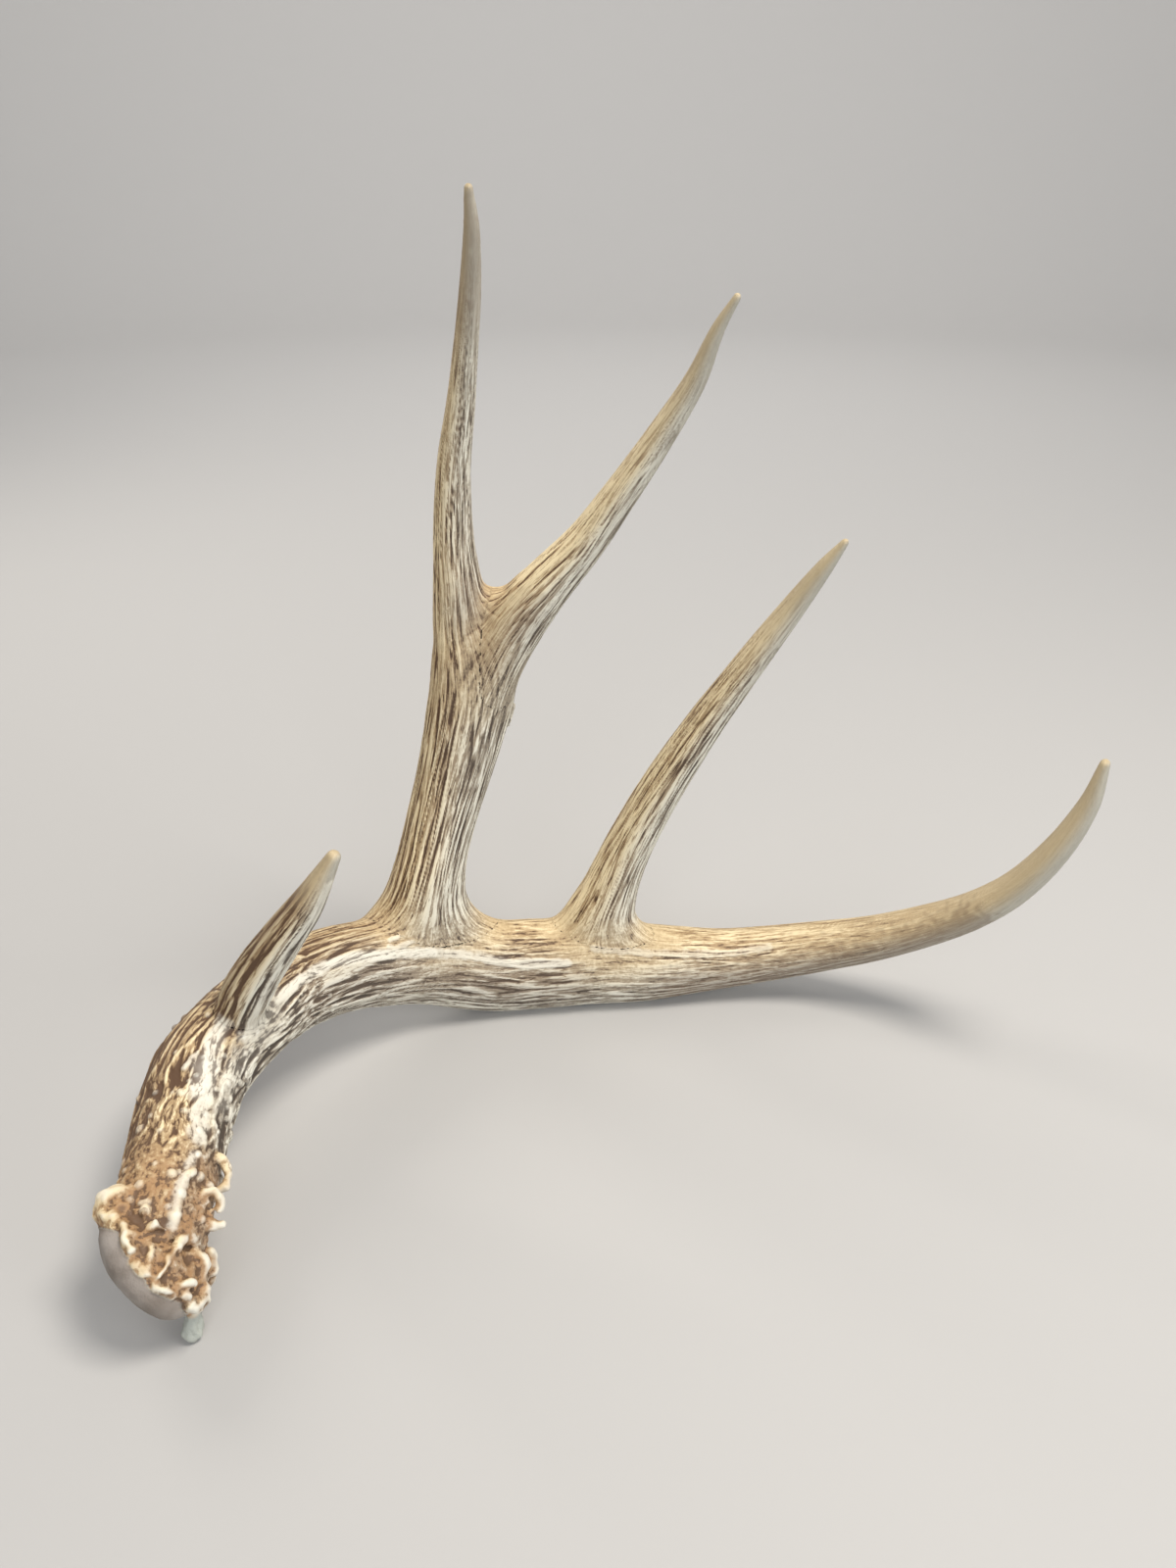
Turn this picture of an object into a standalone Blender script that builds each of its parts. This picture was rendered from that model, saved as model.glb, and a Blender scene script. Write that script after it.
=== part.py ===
"""Shed deer antler: a burr, a main beam that forks twice, a forked rear stem and a brow tine.

The antler stands as it would on a table: on two knobs of the burr and on the belly of the beam,
with its tines pointing up. Its parts are the branches of one grown piece, split where it forks.
Units are metres and +Z is up. X runs along the fan of tines, and Y runs through it. The origin is
under the middle of the whole antler, on the surface that it stands on.
"""
import math

import bmesh
import bpy
from mathutils import Vector

MM = 0.001
UP = Vector((0.0, 0.0, 1.0))
THROUGH_FAN = Vector((0.0, 1.0, 0.0))
THROUGH_MAIN_FORK = Vector((-0.38, 0.92, 0.0))

# Driving dimensions, in millimetres.
FORK_GAP = 0.3
RING_SPACING = 8.0
BEAM_SIDES = 24
TINE_SIDES = 16
TIP_CAP_RINGS = 2
HEADING_STEP = 0.5
SHARP_EDGE_DEG = 40.0
SURFACE_WIDTH = 600.0
SURFACE_DEPTH = 60.0

BURR_CENTRE = (-160.0, -80.0, 25.0)
BURR_FACING = (-0.76, -0.39, -0.52)
BURR_SIDES = 60
KNOB_WIDTH_DEG = 9.0
SEAL_RISE = 4.5
SEAL_LIFTS_DEG = (25.0, 50.0, 72.0)

# Knobs around the burr: (degrees round it from its lowest point, how far each stands out).
BURR_KNOBS = (
    (-48.0, 3.0), (-74.0, 3.5), (-100.0, 4.0), (-126.0, 2.5), (-152.0, 3.5), (180.0, 2.5),
    (150.0, 4.0), (122.0, 3.0), (95.0, 4.0), (68.0, 3.0), (40.0, 3.5), (12.0, 2.0),
)
# Rings of the burr: (distance out along its axis, radius, share of the knobs' height).
BURR_RINGS = (
    (-12.0, 15.0, 0.0), (-8.0, 19.5, 0.35), (-4.0, 23.5, 0.9), (-1.0, 25.0, 1.0),
    (2.0, 23.0, 0.6), (3.0, 18.5, 0.0),
)
# The two knobs that the burr rests on: (x, y, z) of the middle, then half its size each way.
BURR_FEET = (
    ((-148.0, -88.0, 8.5), (6.0, 5.5, 9.0)),
    ((-160.0, -58.0, 7.0), (7.0, 8.0, 7.5)),
)

# Branches, as (x, y, z, half width in the plane of the fan, half thickness through it).
BEAM = (
    (-158, -78, 28.0, 15.5, 15.5), (-159, -64, 33.0, 15.8, 16.0), (-160, -46, 36.0, 16.3, 16.3),
    (-161, -27, 39.5, 16.5, 17.0), (-159, -9, 44.5, 17.0, 17.5), (-149, 11, 49.0, 17.5, 17.5),
    (-134, 35, 48.5, 18.5, 17.0), (-113, 56, 42.5, 19.5, 16.0), (-87, 73, 32.5, 20.5, 15.5),
    (-55, 83, 21.7, 21.9, 15.0), (-15, 88, 20.3, 21.0, 14.5), (11, 90, 18.3, 18.7, 14.0),
    (43, 92.5, 18.0, 14.3, 12.5), (65, 93, 20.5, 12.8, 11.8), (90, 90, 27.0, 11.5, 10.8),
    (113, 83, 37.0, 10.0, 10.0), (134, 74, 51.0, 8.8, 9.0), (148, 65, 65.0, 7.8, 8.0),
    (160, 57, 82.0, 6.8, 7.0), (170, 50, 105.0, 5.6, 5.8), (176, 46, 127.0, 4.0, 4.2),
    (177, 43, 146.0, 2.0, 2.2),
)
MAIN_FORK = 8
FRONT_FORK = 10
BROW_TINE = (
    (-153, 12, 46.0, 11.0, 11.0), (-149, 6, 56.0, 9.6, 9.6), (-142, 2, 71.0, 8.8, 8.8),
    (-135, -1, 84.0, 8.1, 8.1), (-123, -4, 102.0, 7.1, 7.1), (-112, -6, 118.0, 5.8, 5.8),
    (-101, -7, 137.0, 2.6, 2.6),
)
REAR_STEM = (
    (-87, 73, 34.0, 46.0, 11.0), (-87, 74.5, 49.0, 31.0, 12.5), (-85, 76, 63.0, 18.8, 13.5),
    (-82, 77, 78.0, 15.0, 13.5), (-78, 79, 94.0, 14.0, 13.0), (-70, 81, 121.0, 15.0, 12.5),
    (-64, 81, 143.0, 16.4, 12.0), (-60, 81, 160.0, 17.6, 11.8), (-60, 80.5, 176.0, 15.8, 11.0),
    (-62.5, 80, 189.0, 11.6, 9.8), (-63.6, 78, 203.0, 9.1, 8.8), (-64, 76, 223.0, 7.1, 7.4),
    (-62, 72, 249.0, 5.8, 6.2), (-58, 67, 271.0, 4.8, 5.0), (-55, 62, 289.0, 4.1, 4.2),
    (-52, 55, 308.0, 3.5, 3.6), (-50, 47, 326.0, 2.5, 2.6), (-50, 43, 335.0, 1.4, 1.4),
)
REAR_FORK = 9
REAR_SLANTED_TINE = (
    (-58, 81, 158.0, 13.0, 11.0), (-52, 80, 173.0, 13.0, 10.6), (-42.5, 79, 189.0, 11.8, 10.0),
    (-29, 77, 205.5, 9.2, 8.8), (-16, 74, 221.0, 7.4, 7.6), (-5, 70, 237.5, 6.2, 6.4),
    (8.5, 65, 259.0, 5.1, 5.2), (20, 58, 280.0, 3.8, 3.9), (26, 51, 297.0, 2.3, 2.4),
    (30, 47, 305.0, 1.3, 1.3),
)
FRONT_TINE = (
    (-7, 89, 22.0, 40.0, 9.0), (-7, 89, 35.0, 30.0, 10.0), (-8, 89.5, 46.0, 17.5, 10.5),
    (-6, 89.5, 57.0, 12.6, 10.4), (-1.5, 89, 71.0, 10.8, 10.0), (4, 88, 86.0, 9.9, 9.6),
    (14.5, 85, 110.5, 8.9, 8.8), (30, 80, 142.0, 7.5, 7.6), (44, 74, 168.5, 6.2, 6.4),
    (59.5, 67, 197.0, 4.7, 4.8), (69, 60, 216.0, 3.1, 3.2), (74.5, 56, 226.5, 1.4, 1.4),
)

# Colours of the bone, as linear red, green and blue, with a roughness each.
BEAM_BROWN = ((0.36, 0.27, 0.18), 0.60)
TINE_TAN = ((0.47, 0.38, 0.27), 0.50)
TIP_IVORY = ((0.60, 0.53, 0.42), 0.42)


class Branch:
    """A smooth tapering branch through its stations, with an oval section at each."""

    def __init__(self, stations, sides, first_through):
        self.points = [Vector(station[:3]) * MM for station in stations]
        self.radii = [(station[3] * MM, station[4] * MM) for station in stations]
        self.sides = sides
        self.first_through = first_through
        self.at = [0.0]
        for here, there in zip(self.points, self.points[1:]):
            self.at.append(self.at[-1] + (there - here).length)

    def slope(self, values, index):
        """Rate of change of values at a station, from the stations beside it."""
        low = max(index - 1, 0)
        high = min(index + 1, len(values) - 1)
        return (values[high] - values[low]) / (self.at[high] - self.at[low])

    def blend(self, values, distance):
        """Cubic through the values, at a distance along the branch."""
        last = len(self.at) - 2
        index = max(i for i in range(last + 1) if self.at[i] <= distance or i == 0)
        span = self.at[index + 1] - self.at[index]
        t = (distance - self.at[index]) / span
        start_pull = self.slope(values, index) * span
        end_pull = self.slope(values, index + 1) * span
        start_share = 2 * t**3 - 3 * t**2 + 1
        end_share = 3 * t**2 - 2 * t**3
        ends = values[index] * start_share + values[index + 1] * end_share
        return ends + start_pull * (t**3 - 2 * t**2 + t) + end_pull * (t**3 - t**2)

    def stops(self):
        """Distances of the rings: one at every station, and even steps between stations."""
        distances = [0.0]
        for here, there in zip(self.at, self.at[1:]):
            steps = max(1, round((there - here) / (RING_SPACING * MM)))
            distances += [here + (there - here) * (i + 1) / steps for i in range(steps)]
        return distances

    def frames(self):
        """Distance, direction along and two directions across, at every stop."""
        through = self.first_through
        found = []
        for distance in self.stops():
            before = self.blend(self.points, max(distance - HEADING_STEP * MM, 0.0))
            after = self.blend(self.points, min(distance + HEADING_STEP * MM, self.at[-1]))
            along = (after - before).normalized()
            through = (through - along * through.dot(along)).normalized()
            found.append((distance, along, along.cross(through), through))
        return found

    def section(self, distance, across, through, grow):
        """Points of the oval section at a distance along the branch."""
        half_width = self.blend([radius[0] for radius in self.radii], distance) + grow
        half_depth = self.blend([radius[1] for radius in self.radii], distance) + grow
        centre = self.blend(self.points, distance)
        return self.oval(centre, across * half_width, through * half_depth)

    def oval(self, centre, across, through):
        """Points of an oval from its centre and its two half axes."""
        turns = [2 * math.pi * k / self.sides for k in range(self.sides)]
        return [centre + across * math.cos(turn) + through * math.sin(turn) for turn in turns]

    def rings(self, start=None, end=None, grow=0.0):
        """Rings between two stations, or on to the rounded tip, and the tip's closing point."""
        first = self.at[start] if start else 0.0
        last = self.at[end] if end else self.at[-1]
        inside = [frame for frame in self.frames() if first <= frame[0] <= last]
        rings = []
        for distance, along, across, through in inside:
            if start and distance == first:
                distance += FORK_GAP * MM
            rings.append(self.section(distance, across, through, grow))
        if end:
            return rings, None
        tip_radius = min(self.radii[-1]) + grow
        for i in range(1, TIP_CAP_RINGS + 1):
            lift = math.pi / 2 * i / (TIP_CAP_RINGS + 1)
            middle = self.points[-1] + along * tip_radius * math.sin(lift)
            narrowed = tip_radius * math.cos(lift)
            rings.append(self.oval(middle, across * narrowed, through * narrowed))
        return rings, self.points[-1] + along * tip_radius


def collection(name):
    """New collection in the scene."""
    made = bpy.data.collections.new(name)
    bpy.context.scene.collection.children.link(made)
    return made


def bone(name, finish):
    """Principled material of one finish."""
    colour, roughness = finish
    material = bpy.data.materials.new(name)
    material.use_nodes = True
    shader = material.node_tree.nodes["Principled BSDF"]
    shader.inputs["Base Color"].default_value = (*colour, 1.0)
    shader.inputs["Roughness"].default_value = roughness
    shader.inputs["Metallic"].default_value = 0.0
    return material


def lofted(name, rings, pole, group):
    """Closed object from rings of points, flat at its start and flat or pointed at its end."""
    mesh = bmesh.new()
    loops = [[mesh.verts.new(point) for point in ring] for ring in rings]
    sides = len(loops[0])
    for lower, upper in zip(loops, loops[1:]):
        for k in range(sides):
            beside = (k + 1) % sides
            mesh.faces.new((lower[k], lower[beside], upper[beside], upper[k]))
    mesh.faces.new(list(reversed(loops[0])))
    if pole is None:
        mesh.faces.new(loops[-1])
    else:
        tip = mesh.verts.new(pole)
        for k in range(sides):
            mesh.faces.new((loops[-1][k], loops[-1][(k + 1) % sides], tip))
    bmesh.ops.recalc_face_normals(mesh, faces=mesh.faces)
    data = bpy.data.meshes.new(name)
    mesh.to_mesh(data)
    mesh.free()
    data.shade_smooth()
    data.set_sharp_from_angle(angle=math.radians(SHARP_EDGE_DEG))
    made = bpy.data.objects.new(name, data)
    group.objects.link(made)
    return made


def hide(cutter):
    """Keep a cutter out of the build."""
    cutter.hide_render = True
    cutter.display_type = "WIRE"
    return cutter


def combine(part, tool, operation):
    """Boolean of a part with another object."""
    modifier = part.modifiers.new(f"{operation.lower()} {tool.name}", "BOOLEAN")
    modifier.operation = operation
    modifier.object = tool
    modifier.solver = "EXACT"


def burr_knob_height(degrees):
    """How far the knobs stand out at an angle round the burr, in millimetres."""
    height = 0.0
    for centre, rise in BURR_KNOBS:
        away = (degrees - centre + 180.0) % 360.0 - 180.0
        height = max(height, rise * math.exp(-((away / KNOB_WIDTH_DEG) ** 2)))
    return height


def burr_rings():
    """Rings of the knobbed burr and of the rounded seal that closes it."""
    facing = Vector(BURR_FACING).normalized()
    lowest = (facing * facing.z - UP).normalized()
    sideways = facing.cross(lowest)
    centre = Vector(BURR_CENTRE)

    def ring(out, radius, knob_share):
        """One ring of points round the burr's axis."""
        points = []
        for k in range(BURR_SIDES):
            degrees = 360.0 * k / BURR_SIDES
            reach = radius + knob_share * burr_knob_height(degrees)
            turn = math.radians(degrees)
            round_axis = lowest * math.cos(turn) + sideways * math.sin(turn)
            points.append((centre + facing * out + round_axis * reach) * MM)
        return points

    rings = [ring(*sizes) for sizes in BURR_RINGS]
    seal_base = BURR_RINGS[-1][0]
    seal_radius = BURR_RINGS[-1][1]
    for lift in SEAL_LIFTS_DEG:
        rise = SEAL_RISE * math.sin(math.radians(lift))
        rings.append(ring(seal_base + rise, seal_radius * math.cos(math.radians(lift)), 0.0))
    pole = (centre + facing * (seal_base + SEAL_RISE)) * MM
    return rings, pole


def burr_foot(number, middle, half_sizes, group):
    """One knob under the burr, as a rounded lump."""
    made = bpy.data.objects.new(f"burr_foot_{number}", bpy.data.meshes.new("burr_foot"))
    mesh = bmesh.new()
    bmesh.ops.create_icosphere(mesh, subdivisions=2, radius=1.0)
    for vertex in mesh.verts:
        stretched = Vector(a * b for a, b in zip(vertex.co, half_sizes))
        vertex.co = (stretched + Vector(middle)) * MM
    mesh.to_mesh(made.data)
    mesh.free()
    group.objects.link(made)
    return hide(made)


def ground_cutter(group):
    """Box under the surface that the antler stands on."""
    bpy.ops.mesh.primitive_cube_add(size=1.0, location=(0.0, 0.0, -SURFACE_DEPTH / 2 * MM))
    box = bpy.context.object
    box.name = "surface_below"
    box.scale = (SURFACE_WIDTH * MM, SURFACE_WIDTH * MM, SURFACE_DEPTH * MM)
    bpy.context.collection.objects.unlink(box)
    group.objects.link(box)
    return hide(box)


def build():
    """Model every branch of the antler."""
    for item in list(bpy.data.objects):
        bpy.data.objects.remove(item, do_unlink=True)
    antler = collection("deer_antler")
    cutters = collection("cutters")

    beam_start = Vector((1.0, 0.0, 0.0))
    beam = Branch(BEAM, BEAM_SIDES, beam_start)
    stem = Branch(REAR_STEM, TINE_SIDES, THROUGH_MAIN_FORK)
    brow = Branch(BROW_TINE, TINE_SIDES, THROUGH_FAN)
    slanted = Branch(REAR_SLANTED_TINE, TINE_SIDES, THROUGH_FAN)
    front = Branch(FRONT_TINE, TINE_SIDES, THROUGH_FAN)

    gap = FORK_GAP * MM
    round_beam = hide(lofted("room_for_beam", *beam.rings(grow=gap), cutters))
    round_stem = hide(lofted("room_for_stem", *stem.rings(grow=gap), cutters))
    burr = hide(lofted("burr_and_seal", *burr_rings(), cutters))
    ground = ground_cutter(cutters)

    lower_beam = lofted("burr_and_lower_beam", *beam.rings(end=MAIN_FORK), antler)
    middle_beam = lofted("middle_beam", *beam.rings(MAIN_FORK, FRONT_FORK), antler)
    beam_end = lofted("beam_end", *beam.rings(FRONT_FORK), antler)
    brow_tine = lofted("brow_tine", *brow.rings(), antler)
    rear_stem = lofted("rear_stem", *stem.rings(end=REAR_FORK), antler)
    upright_tine = lofted("rear_upright_tine", *stem.rings(REAR_FORK), antler)
    slanted_tine = lofted("rear_slanted_tine", *slanted.rings(), antler)
    front_tine = lofted("front_tine", *front.rings(), antler)

    combine(lower_beam, burr, "UNION")
    for number, (middle, half_sizes) in enumerate(BURR_FEET, start=1):
        combine(lower_beam, burr_foot(number, middle, half_sizes, cutters), "UNION")
    for part in (lower_beam, middle_beam, beam_end):
        combine(part, ground, "DIFFERENCE")
    for part in (brow_tine, rear_stem, front_tine):
        combine(part, round_beam, "DIFFERENCE")
    combine(slanted_tine, round_stem, "DIFFERENCE")

    finishes = (
        (BEAM_BROWN, (lower_beam, middle_beam, rear_stem)),
        (TINE_TAN, (brow_tine, slanted_tine, front_tine)),
        (TIP_IVORY, (upright_tine, beam_end)),
    )
    for finish, parts in finishes:
        for part in parts:
            part.data.materials.append(bone(f"bone of {part.name}", finish))


build()
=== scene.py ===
"""Shed deer antler: its bone surface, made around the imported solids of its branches.

The limbs repeat the solids' stations. They are fused into one skin, its forks are eased, and its ridges,
pearls and burr knobs are raised along the grain. The skin is then divided into one piece for each solid.
Sizes are millimetres until a mesh is made. +Z is up, +X runs along the fan of tines.
"""

import logging
import math
from dataclasses import dataclass, field
from enum import Enum
from itertools import product
from typing import NamedTuple

import bpy
import numpy as np
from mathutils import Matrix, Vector
from numpy.typing import NDArray


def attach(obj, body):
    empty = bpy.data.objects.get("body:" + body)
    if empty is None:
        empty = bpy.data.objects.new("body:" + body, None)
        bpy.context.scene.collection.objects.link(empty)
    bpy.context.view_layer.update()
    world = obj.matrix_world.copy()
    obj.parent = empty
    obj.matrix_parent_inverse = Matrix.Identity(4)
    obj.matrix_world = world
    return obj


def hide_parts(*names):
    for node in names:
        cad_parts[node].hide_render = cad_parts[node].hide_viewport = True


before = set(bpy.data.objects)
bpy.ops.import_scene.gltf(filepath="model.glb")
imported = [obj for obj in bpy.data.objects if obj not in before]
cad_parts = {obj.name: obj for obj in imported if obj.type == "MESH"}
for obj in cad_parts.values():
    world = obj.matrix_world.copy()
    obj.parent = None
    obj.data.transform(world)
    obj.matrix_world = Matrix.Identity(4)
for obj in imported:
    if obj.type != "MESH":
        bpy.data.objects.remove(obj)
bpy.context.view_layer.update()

LOG = logging.getLogger("antler")
MM = 0.001
LUMP_SEED, WANDER_SEED, MARK_SEED, PEARL_SEED = 11, 23, 31, 5
Numbers = NDArray[np.float64]
Rows = NDArray[np.int64]
Point = tuple[float, float, float]
Colour = tuple[float, float, float]
Face = tuple[int, ...]


class Shell(NamedTuple):
    """Points and faces of a closed surface."""

    points: Numbers
    faces: list[Face]


class Piece(Enum):
    """The pieces that the skin is divided into, by name."""

    BURR = "burr_bone"
    LOWER_BEAM = "lower_beam_bone"
    MIDDLE_BEAM = "middle_beam_bone"
    BEAM_END = "beam_end_bone"
    BROW_TINE = "brow_tine_bone"
    REAR_STEM = "rear_stem_bone"
    UPRIGHT_TINE = "rear_upright_tine_bone"
    SLANTED_TINE = "rear_slanted_tine_bone"
    FRONT_TINE = "front_tine_bone"


STANDS_FOR = {
    Piece.BURR: "burr_and_lower_beam",
    Piece.LOWER_BEAM: "burr_and_lower_beam",
    Piece.MIDDLE_BEAM: "middle_beam",
    Piece.BEAM_END: "beam_end",
    Piece.BROW_TINE: "brow_tine",
    Piece.REAR_STEM: "rear_stem",
    Piece.UPRIGHT_TINE: "rear_upright_tine",
    Piece.SLANTED_TINE: "rear_slanted_tine",
    Piece.FRONT_TINE: "front_tine",
}


def eased(low: float, high: float, value: Numbers) -> Numbers:
    """Smooth rise of each value from 0 at low to 1 at high."""
    part = np.clip((value - low) / (high - low), 0.0, 1.0)
    return part * part * (3.0 - 2.0 * part)


def unit(vectors: Numbers) -> Numbers:
    """The vectors, each at length one."""
    return vectors / np.maximum(np.linalg.norm(vectors, axis=-1, keepdims=True), 1e-9)


def dots(first: Numbers, second: Numbers) -> Numbers:
    """Product of each row of one table with the same row of another."""
    return np.einsum("ij,ij->i", first, second)


def far(points: Numbers, place: Point | Numbers) -> Numbers:
    """Distance of each point from a place."""
    return np.linalg.norm(points - np.array(place), axis=1)


def within(points: Numbers, low: Numbers, high: Numbers) -> Rows:
    """Rows of the points that lie in a box."""
    return np.flatnonzero(((points > low) & (points < high)).all(axis=1))


def circle(sides: int, first: Numbers, second: Numbers) -> Numbers:
    """Even points of a circle of radius one, in the plane of two directions."""
    turns = np.linspace(0.0, 2 * math.pi, sides, endpoint=False)
    return np.cos(turns)[:, None] * first + np.sin(turns)[:, None] * second


def added(name: str, data: bpy.types.ID) -> bpy.types.Object:
    """Add an object to the scene.

    Args:
        name: its name.
        data: its mesh, light or camera.
    Returns:
        The object.
    """
    made = bpy.data.objects.new(name, data)
    bpy.context.scene.collection.objects.link(made)
    return made


def bands(rings: int, sides: int) -> list[Face]:
    """Quads between each ring of points and the next.

    Args:
        rings: how many rings.
        sides: points in each.
    Returns:
        The quads.
    """
    faces = []
    for first, side in product(range(0, (rings - 1) * sides, sides), range(sides)):
        beside = first + (side + 1) % sides
        faces.append((first + side, beside, beside + sides, first + side + sides))
    return faces


def lofted(rings: list[Numbers], pole: Numbers) -> Shell:
    """Closed surface through rings of points, flat at its start.

    Args:
        rings: rings with the same number of points.
        pole: the point that closes the last ring.
    Returns:
        The surface.
    """
    sides = len(rings[0])
    last = (len(rings) - 1) * sides
    faces = [tuple(reversed(range(sides))), *bands(len(rings), sides)]
    faces += [(last + side, last + (side + 1) % sides, last + sides) for side in range(sides)]
    return Shell(np.concatenate([*rings, pole[None]]), faces)


@dataclass
class GrainNoise:
    """Smooth three-dimensional noise, the same on every run.

    Args:
        seed: picks one pattern.
    """

    seed: int
    order: NDArray[np.int64] = field(init=False)
    slopes: NDArray[np.float32] = field(init=False)

    def __post_init__(self) -> None:
        """Draw the pattern's order and slopes."""
        chance = np.random.default_rng(self.seed)
        self.order = np.tile(chance.permutation(256), 3)
        self.slopes = unit(chance.normal(size=(256, 3))).astype(np.float32)

    def at(self, points: Numbers) -> Numbers:
        """Value of the noise at each point.

        Args:
            points: places, in cells of the noise.
        Returns:
            One value for each point, mostly between -1 and 1.
        """
        cells = np.floor(points).astype(np.int64)
        part = (points - cells).astype(np.float32)
        cells &= 255
        fade = part**3 * (part * (part * 6.0 - 15.0) + 10.0)
        total = np.zeros(len(points), np.float32)
        for corner in product((0, 1), repeat=3):
            index = self.order[cells[:, 0] + corner[0]]
            index = self.order[index + cells[:, 1] + corner[1]]
            index = self.order[index + cells[:, 2] + corner[2]]
            shares = [fade[:, axis] if corner[axis] else 1.0 - fade[:, axis] for axis in range(3)]
            reach = part - np.array(corner, np.float32)
            total += shares[0] * shares[1] * shares[2] * dots(self.slopes[index], reach)
        return 1.6 * total.astype(np.float64)


@dataclass(frozen=True)
class GrainStop:
    """How the grain looks at one distance along a limb.

    Args:
        at: distance along the limb.
        spacing: distance between ridges.
        length: length of a ridge.
        height: height of the ridges.
        ground: how pale the ground between lines is, from 0 to 1.
        pale_lines: strength of the raised pale lines.
        dark_lines: strength of the sunk dark lines.
        granular: share of fine grains that have no direction.
        bare: 0 for brown bark, 1 for smooth ivory.
    """

    at: float
    spacing: float
    length: float
    height: float
    ground: float
    pale_lines: float
    dark_lines: float
    granular: float = 0.0
    bare: float = 0.0


def stops(*rows: tuple[float, ...]) -> tuple[GrainStop, ...]:
    """Looks of the grain along a limb, from a row of settings for each."""
    return tuple(GrainStop(*row) for row in rows)


class Reading(NamedTuple):
    """Where points of the skin lie on one limb."""

    rows: Rows
    along: Numbers
    turn: Numbers
    reach: Numbers
    outside: Numbers


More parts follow.
